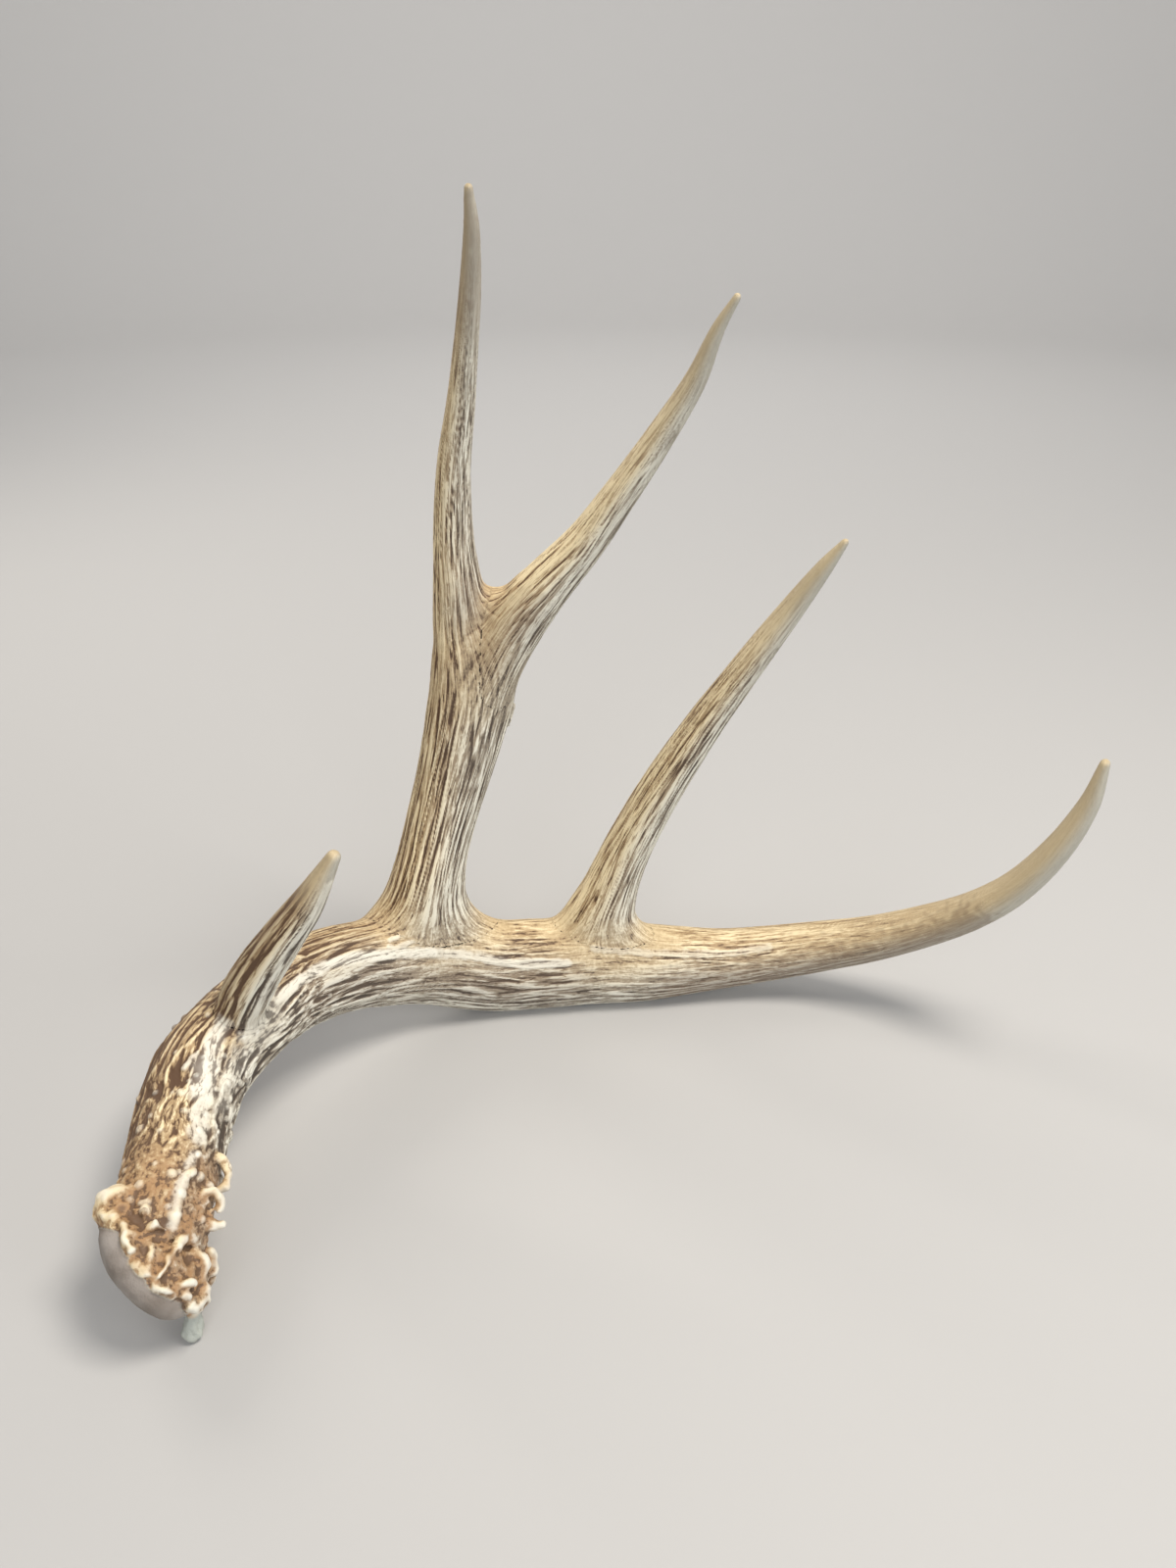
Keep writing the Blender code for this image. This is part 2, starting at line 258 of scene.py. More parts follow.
@dataclass
class Limb:
    """A smooth tapering branch through its stations, with an oval section at each.

    Args:
        name: plain name of the limb.
        stations: x, y, z, half width in the plane of the fan and half thickness through it.
        first_through: direction of the thickness at the start.
        grain: how the grain changes along the limb.
        sides: points round a section.
        step: distance between sections.
    """

    name: str
    stations: tuple[tuple[float, ...], ...]
    first_through: Point
    grain: tuple[GrainStop, ...]
    sides: int = 72
    step: float = 1.0
    at: Numbers = field(init=False)
    distance: Numbers = field(init=False)
    centre: Numbers = field(init=False)
    radii: Numbers = field(init=False)
    ahead: Numbers = field(init=False)
    across: Numbers = field(init=False)
    through: Numbers = field(init=False)

    def __post_init__(self) -> None:
        """Work out the limb's line, radii and directions at even steps."""
        table = np.array(self.stations, float)
        gaps = np.linalg.norm(np.diff(table[:, :3], axis=0), axis=1)
        self.at = np.concatenate([[0.0], np.cumsum(gaps)])
        self.distance = np.linspace(0.0, self.at[-1], round(self.at[-1] / self.step) + 1)
        blend = self.blended(table)
        self.centre = blend[:, :3]
        self.radii = blend[:, 3:]
        self.ahead = unit(np.gradient(self.centre, axis=0))
        through = np.array(self.first_through, float)
        rows = []
        for ahead in self.ahead:
            through = through - ahead * (through @ ahead)
            through = through / np.linalg.norm(through)
            rows.append(through)
        self.through = np.array(rows)
        self.across = np.cross(self.ahead, self.through)

    def blended(self, table: Numbers) -> Numbers:
        """Smooth the table of stations.

        Args:
            table: one row for each station.
        Returns:
            A cubic through the rows, at every step along the limb.
        """
        last = len(self.at) - 1
        index = np.arange(last + 1)
        low = np.maximum(index - 1, 0)
        high = np.minimum(index + 1, last)
        slopes = (table[high] - table[low]) / (self.at[high] - self.at[low])[:, None]
        here = np.clip(np.searchsorted(self.at, self.distance, side="right") - 1, 0, last - 1)
        span = (self.at[here + 1] - self.at[here])[:, None]
        part = (self.distance - self.at[here])[:, None] / span
        ends = table[here] * (2 * part**3 - 3 * part**2 + 1)
        ends += table[here + 1] * (3 * part**2 - 2 * part**3)
        start_pull = slopes[here] * span * (part**3 - 2 * part**2 + part)
        end_pull = slopes[here + 1] * span * (part**3 - part**2)
        return ends + start_pull + end_pull

    def stop_values(self, name: str, along: Numbers) -> Numbers:
        """One setting of the grain at each distance along the limb."""
        return np.interp(along, [stop.at for stop in self.grain], [getattr(s, name) for s in self.grain])

    def shell(self) -> Shell:
        """Closed surface of the limb, rounded at its tip.

        Returns:
            The surface.
        """
        turns = np.linspace(0.0, 2 * math.pi, self.sides, endpoint=False)
        cosines = np.cos(turns)[None, :, None]
        sines = np.sin(turns)[None, :, None]
        width = self.radii[:, :1, None] * self.across[:, None]
        depth = self.radii[:, 1:, None] * self.through[:, None]
        rings = list(self.centre[:, None] + width * cosines + depth * sines)
        tip_radius = self.radii[-1].min()
        for lift in np.radians((22.0, 45.0, 67.0)):
            middle = self.centre[-1] + self.ahead[-1] * tip_radius * math.sin(lift)
            narrowed = (rings[len(self.distance) - 1] - self.centre[-1]) * math.cos(lift)
            rings.append(middle + narrowed)
        return lofted(rings, self.centre[-1] + self.ahead[-1] * tip_radius)

    def on_surface(self, along: float, degrees: float) -> Numbers:
        """Find a point on the limb's surface.

        Args:
            along: distance along the limb.
            degrees: angle round it.
        Returns:
            The point.
        """
        row = int(np.clip(round(along / self.step), 0, len(self.distance) - 1))
        turn = math.radians(degrees)
        side = self.across[row] * self.radii[row, 0] * math.cos(turn)
        return self.centre[row] + side + self.through[row] * self.radii[row, 1] * math.sin(turn)

    def read(self, points: Numbers, margin: float = 30.0) -> Reading:
        """Find where the skin's points lie along, round and outside this limb.

        Args:
            points: points of the skin.
            margin: how far from the limb's box points are still read.
        Returns:
            The reading of the points near the limb.
        """
        reach = self.radii.max(axis=1, keepdims=True) + margin
        low = (self.centre - reach).min(axis=0)
        high = (self.centre + reach).max(axis=0)
        rows = within(points, low, high)
        lengths = (self.centre**2).sum(axis=1)
        nearest = np.concatenate([
            (lengths - 2.0 * (points[part] @ self.centre.T)).argmin(axis=1)
            for part in np.array_split(rows, max(1, len(rows) // 20000))
        ])
        offset = points[rows] - self.centre[nearest]
        beyond = dots(offset, self.ahead[nearest])
        wide = dots(offset, self.across[nearest])
        deep = dots(offset, self.through[nearest])
        half_width, half_depth = self.radii[nearest].T
        share = np.hypot(wide / half_width, deep / half_depth)
        radial = np.hypot(wide, deep) * (1.0 - 1.0 / np.maximum(share, 0.05))
        at_end = (nearest == 0) | (nearest == len(self.distance) - 1)
        outside = np.where(at_end, np.hypot(np.maximum(radial, 0.0), beyond), radial)
        turn = np.arctan2(deep / half_depth, wide / half_width)
        return Reading(rows, self.distance[nearest] + beyond, turn, half_depth, outside)


@dataclass(frozen=True)
class Knob:
    """One knob of polished bone, as a lump from one point to another.

    Args:
        start: one end.
        end: the other end.
        start_radius: half thickness at the start.
        end_radius: half thickness at the end.
    """

    start: Point
    end: Point
    start_radius: float
    end_radius: float

    def shell(self) -> Shell:
        """Surface of the knob.

        Returns:
            The surface, rounded at both ends.
        """
        start = np.array(self.start)
        end = np.array(self.end)
        axis = unit(end - start) if np.linalg.norm(end - start) > 0.01 else np.array([0.0, 0.0, 1.0])
        side = unit(np.cross(axis, [0.31, 0.87, 0.38]))
        around = circle(20, side, np.cross(axis, side))
        rings = []
        for middle, radius, first in ((start, self.start_radius, -75.0), (end, self.end_radius, 0.0)):
            for lift in np.radians(np.arange(first, first + 76.0, 15.0)):
                rings.append(middle + radius * (axis * math.sin(lift) + around * math.cos(lift)))
        return lofted(rings, end + axis * self.end_radius)

    def outside(self, points: Numbers) -> Numbers:
        """Measure from the knob's surface.

        Args:
            points: places.
        Returns:
            Distance of each, below nothing inside the knob.
        """
        start = np.array(self.start)
        line = np.array(self.end) - start
        share = np.clip((points - start) @ line / max(line @ line, 1e-6), 0.0, 1.0)
        radius = self.start_radius + (self.end_radius - self.start_radius) * share
        return np.linalg.norm(points - start - share[:, None] * line, axis=1) - radius


@dataclass(frozen=True)
class Bead:
    """One knob or ridge on the burr's crown, with the swelling that it sits on.

    Args:
        start_degrees: where it starts round the burr, from its lowest side.
        end_degrees: where it ends.
        start_radius: half thickness at the start.
        end_radius: half thickness at the end.
        start_out: how far out along the facing it starts.
        end_out: how far out it ends.
        lift: how far its middle stands off the crown.
    """

    start_degrees: float
    end_degrees: float
    start_radius: float
    end_radius: float
    start_out: float = -6.6
    end_out: float = -6.6
    lift: float = 0.6


@dataclass
class Burr:
    """The knobbly foot of the antler and the rounded seal under it.

    Args:
        centre: middle of the burr.
        facing: direction that the seal faces.
        rings: distance out along the facing and radius of each ring of the crown.
        seal: the same for the seal.
        crown_pole: distance out of the crown's middle.
        seal_pole: the same for the seal.
        beads: knobs along the seal's edge and ridges on the crown.
        knobs: knobs that stand out of the crown, and the two that the antler rests on.
    """

    centre: Point = (-160.0, -80.0, 25.0)
    facing: Point = (-0.76, -0.39, -0.52)
    rings: tuple[tuple[float, float], ...] = (
        (-13.5, 11.0), (-12.0, 14.2), (-10.3, 16.4), (-8.4, 18.6), (-6.5, 19.8), (-5.0, 19.4), (-3.0, 17.0),
    )
    seal: tuple[tuple[float, float], ...] = (
        (-8.0, 19.4), (-5.0, 20.6), (-2.0, 21.3), (0.5, 21.0), (2.8, 19.4), (4.8, 16.6), (6.4, 12.8),
        (7.5, 8.4), (8.1, 4.2),
    )
    crown_pole: float = -2.0
    seal_pole: float = 8.3
    beads: tuple[Bead, ...] = ()
    knobs: tuple[Knob, ...] = ()
    outward: Numbers = field(init=False)
    lowest: Numbers = field(init=False)
    sideways: Numbers = field(init=False)

    def __post_init__(self) -> None:
        """Work out the burr's directions, and set the beads round its edge."""
        self.outward = unit(np.array(self.facing, float))
        self.lowest = unit(self.outward * self.outward[2] - np.array([0.0, 0.0, 1.0]))
        self.sideways = np.cross(self.outward, self.lowest)
        self.knobs = tuple(knob for bead in self.beads for knob in self.on_crown(bead)) + self.knobs

    def on_crown(self, bead: Bead) -> tuple[Knob, Knob]:
        """The knob of a bead, and the swelling under it.

        Args:
            bead: the bead.
        Returns:
            Both, in place on the crown.
        """
        ends = ((bead.start_out, bead.start_degrees), (bead.end_out, bead.end_degrees))
        top = [self.place(out, degrees, bead.lift) for out, degrees in ends]
        low = [self.place(out - 0.8, degrees, bead.lift - 1.9) for out, degrees in ends]
        swelling = Knob(low[0], low[1], bead.start_radius * 1.3 + 0.9, bead.end_radius * 1.3 + 0.9)
        return Knob(top[0], top[1], bead.start_radius, bead.end_radius), swelling

    def place(self, out: float, degrees: float, lift: float) -> Point:
        """Find a point near the crown's surface.

        Args:
            out: how far out along the facing.
            degrees: how far round, from the lowest side.
            lift: how far off the surface.
        Returns:
            The point.
        """
        turn = math.radians(degrees)
        side = self.lowest * math.cos(turn) + self.sideways * math.sin(turn)
        radius = float(np.interp(out, *zip(*self.rings)))
        return tuple(np.array(self.centre) + self.outward * out + side * (radius + lift))

    def turned(self, rings: tuple[tuple[float, float], ...], pole: float) -> Shell:
        """Round body about the burr's axis.

        Args:
            rings: distance out and radius of each ring.
            pole: distance out of its last point.
        Returns:
            Its surface.
        """
        around = circle(64, self.lowest, self.sideways)
        centre = np.array(self.centre)
        loops = [centre + self.outward * out + around * radius for out, radius in rings]
        return lofted(loops, centre + self.outward * pole)

    def shells(self) -> list[Shell]:
        """Surfaces of the crown, the seal and the knobs."""
        bodies = [self.turned(self.rings, self.crown_pole), self.turned(self.seal, self.seal_pole)]
        return bodies + [knob.shell() for knob in self.knobs]

    def out(self, points: Numbers) -> Numbers:
        """Distance of each point out along the facing."""
        return (points - np.array(self.centre)) @ self.outward

    def knob_share(self, points: Numbers) -> Numbers:
        """Find what belongs to the knobs.

        Args:
            points: points of the skin.
        Returns:
            How far each belongs to a knob, from 0 to 1.
        """
        nearest = np.full(len(points), 99.0)
        for knob in self.knobs:
            near = np.flatnonzero(far(points, knob.start) < 25.0)
            nearest[near] = np.minimum(nearest[near], knob.outside(points[near]))
        return 1.0 - eased(0.3, 1.8, nearest)


BEADS = (
    # The far side.
    Bead(14, 4, 2.2, 2),
    Bead(-8, -18, 1.6, 2, -6, -6.8),
    Bead(-31, -42, 2.4, 2.2),
    Bead(-58, -66, 1.8, 2.3, -7.2, -6.4),
    Bead(-78, -88, 2.4, 2),
    Bead(-100, -106, 1.6, 1.7, -6.2, -7),
    Bead(-117, -128, 2.1, 2.4, -7, -6.2, 1.5),
    Bead(-138, -141, 1.7, 1.7, -7.4, -7, 2.5),
    Bead(-52, -60, 1.6, 1.2, -9, -12, 0.4),
    Bead(-95, -88, 1.4, 1.8, -9.6, -12.2, 0.4),
)

# Knobs and ridges of the burr: the place and half thickness of each point along them.
RIDGES = (
    # The two that the antler rests on.
    ((-146.2, -89, 3.7, 3.7), (-145, -88, 9.5, 2.6)),
    ((-160, -58, 6.4, 6.4), (-161, -57, 10, 6)),
    # The row along the edge of the seal, from the top to the foot.
    ((-174.2, -75.5, 43.4, 2.7), (-172.2, -73, 46, 3.6), (-168.5, -70.5, 46.6, 3.4), (-165, -69, 46, 2.2)),
    (
        (-173.4, -76, 41, 2), (-170.5, -77.5, 44.4, 2.9), (-166.5, -80, 45.2, 2.5),
        (-163.2, -82.6, 45.6, 1.5),
    ),
    ((-170.8, -73.8, 44, 4.2), (-166.5, -75.5, 43.6, 4)),
    ((-162.1, -84.7, 46.9, 1.1), (-160.8, -88, 46, 1.5), (-158.6, -90.3, 44.4, 1.5)),
    ((-157.1, -92.6, 41.6, 1), (-154.5, -94.4, 40, 1.1), (-152, -95.2, 38.2, 0.9)),
    ((-154, -86, 42.3, 0.9), (-153.4, -91, 40.8, 1), (-153, -94, 39.2, 1.1)),
    ((-151.6, -96, 36.5, 0.8), (-149.9, -96.9, 34.8, 1.1)),
    ((-148.5, -96.9, 33.6, 1.2), (-145.6, -95.2, 30, 1.4)),
    ((-144.2, -93, 30.6, 1.2), (-141.7, -90.8, 29.2, 1.8)),
    ((-143.2, -94.1, 27.4, 1.4), (-142.6, -93.9, 26.2, 1.3)),
    ((-142.4, -94, 22.5, 2), (-141.5, -92, 19.5, 3), (-140.4, -89.5, 18.5, 2.6), (-140.3, -86, 21.5, 2)),
    ((-147.8, -84.5, 33, 2), (-144.6, -87.5, 26, 2.6), (-143.4, -85.5, 22, 2.8)),
    # Peaks and ridges across the crown.
    ((-161.8, -76.7, 46.6, 0.8), (-161.6, -76.9, 46.5, 0.8)),
    ((-158.6, -78.3, 46.2, 1.1), (-158.5, -78.4, 46, 1.1)),
    ((-150.5, -82, 43, 0.7), (-154, -80.9, 45, 1.5), (-156.8, -83.6, 44.2, 0.9), (-160.6, -86, 45, 1)),
    ((-151.2, -84.8, 40.9, 0.8), (-151, -84.8, 40.8, 0.8)),
    (
        (-146.3, -80.6, 36.6, 1.6), (-146.9, -83, 37, 1.8), (-148.2, -88, 37.9, 1.1),
        (-148.6, -91.5, 38, 1.2), (-149.6, -95.2, 37.4, 0.8),
    ),
    (
        (-144.4, -79.2, 29.6, 1.6), (-142.6, -80, 28.2, 2.3), (-140.6, -81.4, 26, 2),
        (-141, -83.8, 24.2, 1.1),
    ),
    ((-140.9, -84.6, 23.4, 1.2), (-140.2, -87, 20.4, 1.8)),
    # The white ridge that runs up from the crown.
    (
        (-148.6, -60.7, 45.8, 2), (-149.8, -68.4, 45.7, 0.9), (-149.7, -73.2, 43.6, 1.6),
        (-149.7, -77, 41.6, 2.4),
    ),
    ((-149.9, -73.2, 44, 1.2), (-146, -70.6, 40.9, 0.9)),
    # The hooked knobs and flutes on the inner side.
    (
        (-144, -47.5, 40, 1.5), (-140.6, -49.5, 38.6, 1.5), (-139, -53, 36.4, 1.5),
        (-139.6, -56.4, 34.4, 1.6), (-142, -58.5, 34, 1.4),
    ),
    (
        (-145.5, -68, 39.5, 1), (-143.6, -64.5, 40.2, 1.2), (-141, -62.6, 39.4, 1.5),
        (-139.4, -63.4, 36.4, 1.5), (-139.2, -65.2, 33.8, 1.7),
    ),
    ((-143.6, -70.5, 32.5, 2.6), (-140.5, -69.5, 31, 2.3), (-137.8, -68.6, 30.2, 1.4)),
    ((-142.6, -65.5, 37.8, 0.7), (-144, -72, 34.6, 0.7), (-144.9, -77, 32, 0.6)),
    ((-141.4, -66.5, 35, 0.6), (-143.4, -72.5, 31.2, 0.8), (-143.6, -76, 29, 0.7)),
    ((-144.9, -66.5, 40.2, 0.5), (-146.4, -73, 38.2, 0.6), (-146.6, -77.5, 36.6, 0.5)),
    # The far side of the crown.
    ((-142, -74, 22, 2.2), (-141, -77, 18, 2.4)),
    ((-176.5, -62, 31, 2), (-177, -60, 27, 2.2)),
    ((-174, -52, 26, 2.2), (-174.5, -54, 21, 2)),
    ((-150, -62, 12, 2.4), (-148, -66, 12, 2.2)),
)
BURR_KNOBS = tuple(
    Knob(start[:3], end[:3], start[3], end[3])
    for route in RIDGES
    for start, end in zip(route, route[1:])
)

# Pits in the crown: where, how wide and how deep.
PITS = (
    ((-165.5, -77, 47.5), 1.5, 0.8),
    ((-159.5, -79.8, 46.4), 2.8, 1),
    ((-152.6, -84.6, 42.4), 1.5, 0.9),
    ((-151.6, -80.5, 43.6), 3, 0.4),
    ((-147, -78.6, 37.6), 1.4, 1),
    ((-144.4, -84, 31.5), 2.2, 1),
    ((-139.2, -90.8, 18.2), 1.7, 1.2),
    ((-142.2, -53.5, 37), 2.2, 1),
    ((-155.5, -89.5, 42.6), 2, 0.5),
    ((-149.6, -91, 38.2), 1, 0.5),
    ((-144.6, -89.6, 33), 1.4, 0.7),
)


@dataclass(frozen=True)
class Mark:
    """One ridge, patch or scar drawn along a limb's surface.

    Args:
        limb: name of the limb.
        route: distance along the limb and degrees round it, at each point.
        half_width: half the width of the mark.
        rise: how high it stands.
        pale: how far it is worn to pale bone.
        dark: how far it is darkened; mostly stains, and painted shade for the band along the beam end's
            lower side.
    """

    limb: str
    route: tuple[tuple[float, float], ...]
    half_width: float
    rise: float = 0.0
    pale: float = 0.0
    dark: float = 0.0


MARKS = tuple(Mark(*row) for row in (
    ("beam", ((26, 138), (20, 141), (13, 146)), 2, 0.3, 0.75),
    ("beam", ((13, 146), (8, 146), (4, 148)), 2.2, 0.3, 0.65),
    ("beam", ((100, 174), (125, 170), (150, 168)), 10, 0, 0, 0.5),
    ("stem", ((280, 0), (304, 0)), 13, 0, 0, 0.6),
    ("beam", ((84, 162), (75, 159), (66, 153)), 3.8, 0.4, 0.9),
    ("beam", ((66, 153), (60, 150), (52, 146)), 5.2, 0.4, 1),
    ("beam", ((48, 144), (42, 144), (34, 139)), 3.8, 0.3, 0.8),
    # Painted shade: a dark band along the lower front side of the beam's end.
    ("beam", ((300, 60), (350, 62), (400, 66), (440, 75)), 10, 0, 0, 0.8),
    ("beam", ((120, 102), (180, 96), (250, 86)), 11, 0, 0, 0.4),
    ("stem", ((156, -115), (174, -120)), 9, 0, 0, 0.5),
    ("slanted", ((20, -75), (44, -80)), 7, 0, 0, 0.5),
    ("beam", ((50, 118), (75, 116), (98, 118)), 6.5, 0.1, 0.5),
    ("beam", ((86, 128), (93, 134), (103, 138)), 5.5, 0, 0.75),
    ("beam", ((102, 138), (128, 139), (145, 134), (160, 128), (182, 125)), 2.4, 0.5, 0.95),
    ("beam", ((182, 125), (205, 122), (225, 116), (250, 112)), 2.2, 0.4, 0.7),
    ("beam", ((262, 130), (290, 127), (318, 128), (345, 133)), 1.8, 0.3, 0.35),
    ("beam", ((68, 168), (63, 172), (61, 176)), 1.2, 1.2, 0.7),
    ("stem", ((115, 180), (122, 178)), 2, 1.4, 0.3),
    ("beam", ((159, 139), (162, 135), (168, 139), (172, 145)), 1, 0.6, 0.5),
    ("beam", ((160, 147), (166, 152), (172, 150)), 1, 0.6, 0.5),
    ("brow", ((14, -128), (32, -126), (60, -120), (80, -124), (98, -140)), 2.2, 0.3, 0.55),
))

BEAM = Limb(
    "beam",
    (
        (-158, -78, 28, 15.5, 15.5), (-159, -64, 33, 15.8, 16), (-160, -46, 36, 16.3, 16.3),
        (-161, -27, 39.5, 16.5, 17), (-159, -9, 44.5, 17, 17.5), (-149, 11, 49, 17.5, 17.5),
        (-134, 35, 48.5, 18.5, 17), (-113, 56, 42.5, 19.5, 16), (-87, 73, 32.5, 20.5, 15.5),
        (-55, 83, 21.7, 21.9, 15), (-15, 88, 20.3, 21, 14.5), (11, 90, 18.3, 18.7, 14),
        (43, 92.5, 18, 14.3, 12.5), (65, 93, 20.5, 12.8, 11.8), (90, 90, 27, 11.5, 10.8),
        (113, 83, 37, 10, 10), (134, 74, 51, 8.8, 9), (148, 65, 65, 7.8, 8),
        (160, 57, 82, 6.8, 7), (170, 50, 105, 5.6, 5.8), (176, 46, 127, 4, 4.2),
        (177, 43, 146, 2, 2.2),
    ),
    (1, 0, 0),
    stops(
        (0, 4.6, 9, 0.6, 0.5, 0.1, 0.25, 0.6), (22, 4.8, 12, 0.8, 0.46, 0.2, 0.35, 0.5),
        (38, 6.2, 17, 1.2, 0.42, 0.45, 0.7, 0.2), (85, 5.4, 26, 1.2, 0.42, 0.5, 0.9, 0.08),
        (125, 3.4, 36, 0.7, 0.5, 0.5, 0.9, 0.1), (185, 2.9, 38, 0.5, 0.56, 0.5, 0.6, 0.15),
        (300, 2.8, 40, 0.4, 0.58, 0.45, 0.4, 0.2, 0.1), (380, 2.4, 44, 0.22, 0.58, 0.3, 0.35, 0.1, 0.4),
        (430, 2.2, 44, 0.1, 0.55, 0.2, 0.3, 0, 0.75), (470, 2, 44, 0.03, 0.6, 0.1, 0.1, 0, 1),
    ),
)
BROW = Limb(
    "brow",
    (
        (-153, 12, 46, 11, 11), (-149, 6, 56, 9.6, 9.6), (-142, 2, 71, 8.8, 8.8),
        (-135, -1, 84, 8.1, 8.1), (-123, -4, 102, 7.1, 7.1), (-112, -6, 118, 5.8, 5.8),
        (-101, -7, 137, 2.6, 2.6),
    ),
    (0, 1, 0),
    stops(
        (0, 4.4, 56, 0.9, 0.7, 0.6, 1.7), (60, 4.2, 56, 0.6, 0.7, 0.6, 1.7),
        (84, 4, 50, 0.25, 0.58, 0.2, 1.1, 0, 0.3), (98, 2.8, 30, 0.05, 0.45, 0.1, 0.3, 0, 1),
    ),
)
STEM = Limb(
    "stem",
    (
        (-87, 73, 34, 46, 11), (-87, 74.5, 49, 31, 12.5), (-85, 76, 63, 18.8, 13.5),
        (-82, 77, 78, 15, 13.5), (-78, 79, 94, 14, 13), (-70, 81, 121, 15, 12.5),
        (-64, 81, 143, 16.4, 12), (-60, 81, 160, 17.6, 11.8), (-60, 80.5, 176, 15.8, 11),
        (-62.5, 80, 189, 11.6, 9.8), (-63.6, 78, 203, 9.1, 8.8), (-64, 76, 223, 7.1, 7.4),
        (-62, 72, 249, 5.8, 6.2), (-58, 67, 271, 4.8, 5), (-55, 62, 289, 4.1, 4.2),
        (-52, 55, 308, 3.5, 3.6), (-50, 47, 326, 2.5, 2.6), (-50, 42.5, 337.2, 1.4, 1.4),
    ),
    (-0.38, 0.92, 0),
    stops(
        (0, 2.8, 36, 0.35, 0.66, 0.35, 0.45, 0.35), (30, 2.8, 46, 0.5, 0.66, 0.4, 0.5, 0.2),
        (55, 2.7, 60, 0.6, 0.62, 0.35, 0.75, 0.08), (120, 2.7, 60, 0.55, 0.6, 0.35, 0.8, 0.08),
        (180, 2.4, 56, 0.45, 0.58, 0.35, 0.7, 0.08), (230, 2.2, 50, 0.3, 0.58, 0.3, 0.6, 0.08, 0.15),
        (270, 2.2, 46, 0.14, 0.52, 0.2, 0.5, 0.1, 0.55), (296, 2, 46, 0.03, 0.45, 0.1, 0.2, 0, 1),
    ),
)
SLANTED = Limb(
    "slanted",
    (
        (-58, 81, 158, 13, 11), (-52, 80, 173, 13, 10.6), (-42.5, 79, 189, 11.8, 10),
        (-29, 77, 205.5, 9.2, 8.8), (-16, 74, 221, 7.4, 7.6), (-5, 70, 237.5, 6.2, 6.4),
        (8.5, 65, 259, 5.1, 5.2), (20, 58, 280, 3.8, 3.9), (26, 51, 297, 2.3, 2.4),
        (31, 46.5, 307, 1.3, 1.3),
    ),
    (0, 1, 0),
    stops(
        (0, 2.7, 50, 0.45, 0.56, 0.4, 0.8, 0.15), (50, 2.5, 50, 0.4, 0.62, 0.4, 0.7, 0.1),
        (100, 2.2, 44, 0.26, 0.74, 0.3, 0.5, 0.1, 0.2), (135, 2.2, 40, 0.12, 0.72, 0.2, 0.4, 0.1, 0.5),
        (160, 2, 40, 0.03, 0.52, 0.1, 0.2, 0, 1),
    ),
)
FRONT = Limb(
    "front",
    (
        (-9, 89, 22, 34, 9), (-10, 89, 35, 26, 10), (-9, 89.5, 46, 16.5, 10.5),
        (-6, 89.5, 57, 12.6, 10.4), (-1.5, 89, 71, 10.8, 10), (4, 88, 86, 9.9, 9.6),
        (14.5, 85, 110.5, 8.9, 8.8), (30, 80, 142, 7.5, 7.6), (44, 74, 168.5, 6.2, 6.4),
        (59.5, 67, 197, 4.7, 4.8), (69, 60, 216, 3.1, 3.2), (74.5, 56, 226.5, 1.4, 1.4),
    ),
    (0, 1, 0),
    stops(
        (0, 2.6, 36, 0.3, 0.72, 0.35, 0.4, 0.3), (40, 2.6, 50, 0.42, 0.74, 0.4, 0.5, 0.15),
        (100, 2.4, 50, 0.4, 0.66, 0.4, 0.7, 0.1), (150, 2.3, 46, 0.28, 0.66, 0.3, 0.6, 0.1, 0.1),
        (185, 2.2, 44, 0.12, 0.68, 0.2, 0.4, 0.1, 0.6), (210, 2, 44, 0.03, 0.6, 0.1, 0.2, 0, 1),
    ),
)
LIMBS = (BEAM, BROW, STEM, SLANTED, FRONT)
# Where a limb is divided into pieces: above the burr and at its forks.
CUTS = {"beam": (34, BEAM.at[8], BEAM.at[10]), "stem": (STEM.at[9],)}
FORK_WEBS = (
    Knob((-54.5, 79.5, 194.6), (-42, 79, 195.6), 6.6, 6.6),
    Knob((-58, 79, 202.5), (-55, 79.5, 196), 3.8, 5.5),
    Knob((-42, 79, 195.6), (-35.5, 78, 202.5), 6, 4.4),
)


class Graph:
    """Which points of a skin are joined by an edge."""

    def __init__(self, edges: Rows, count: int) -> None:
        """Sort the edges by their first point.

        Args:
            edges: the two points of each edge.
            count: how many points there are.
        """
        both = np.concatenate([edges, edges[:, ::-1]])
        both = both[np.argsort(both[:, 0], kind="stable")]
        self.far = both[:, 1]
        self.counts = np.bincount(both[:, 0], minlength=count)
        self.starts = np.minimum(np.concatenate([[0], np.cumsum(self.counts)[:-1]]), len(both) - 1)

    def smoothed(self, values: Numbers, passes: int, share: float | Numbers = 0.5) -> Numbers:
        """Move values towards the mean of their neighbours.

        Args:
            values: one row for each point.
            passes: how many times.
            share: how far each time, for all points or for each.
        Returns:
            The smoothed values.
        """
        flat = values.ndim == 1
        table = values[:, None] if flat else values
        weight = np.broadcast_to(np.asarray(share, float), (len(table),))[:, None]
        for _ in range(passes):
            mean = np.add.reduceat(table[self.far], self.starts) / np.maximum(self.counts, 1)[:, None]
            table = table + (mean - table) * weight
        return table[:, 0] if flat else table

    def around(self, keep: Rows) -> "Graph":
        """Make the graph of some of the points alone.

        Args:
            keep: those points.
        Returns:
            Their graph.
        """
        local = np.full(len(self.counts), -1)
        local[keep] = np.arange(len(keep))
        near = np.repeat(local, self.counts)
        other = local[self.far]
        inside = (near >= 0) & (other > near)
        return Graph(np.stack([near[inside], other[inside]], axis=1), len(keep))


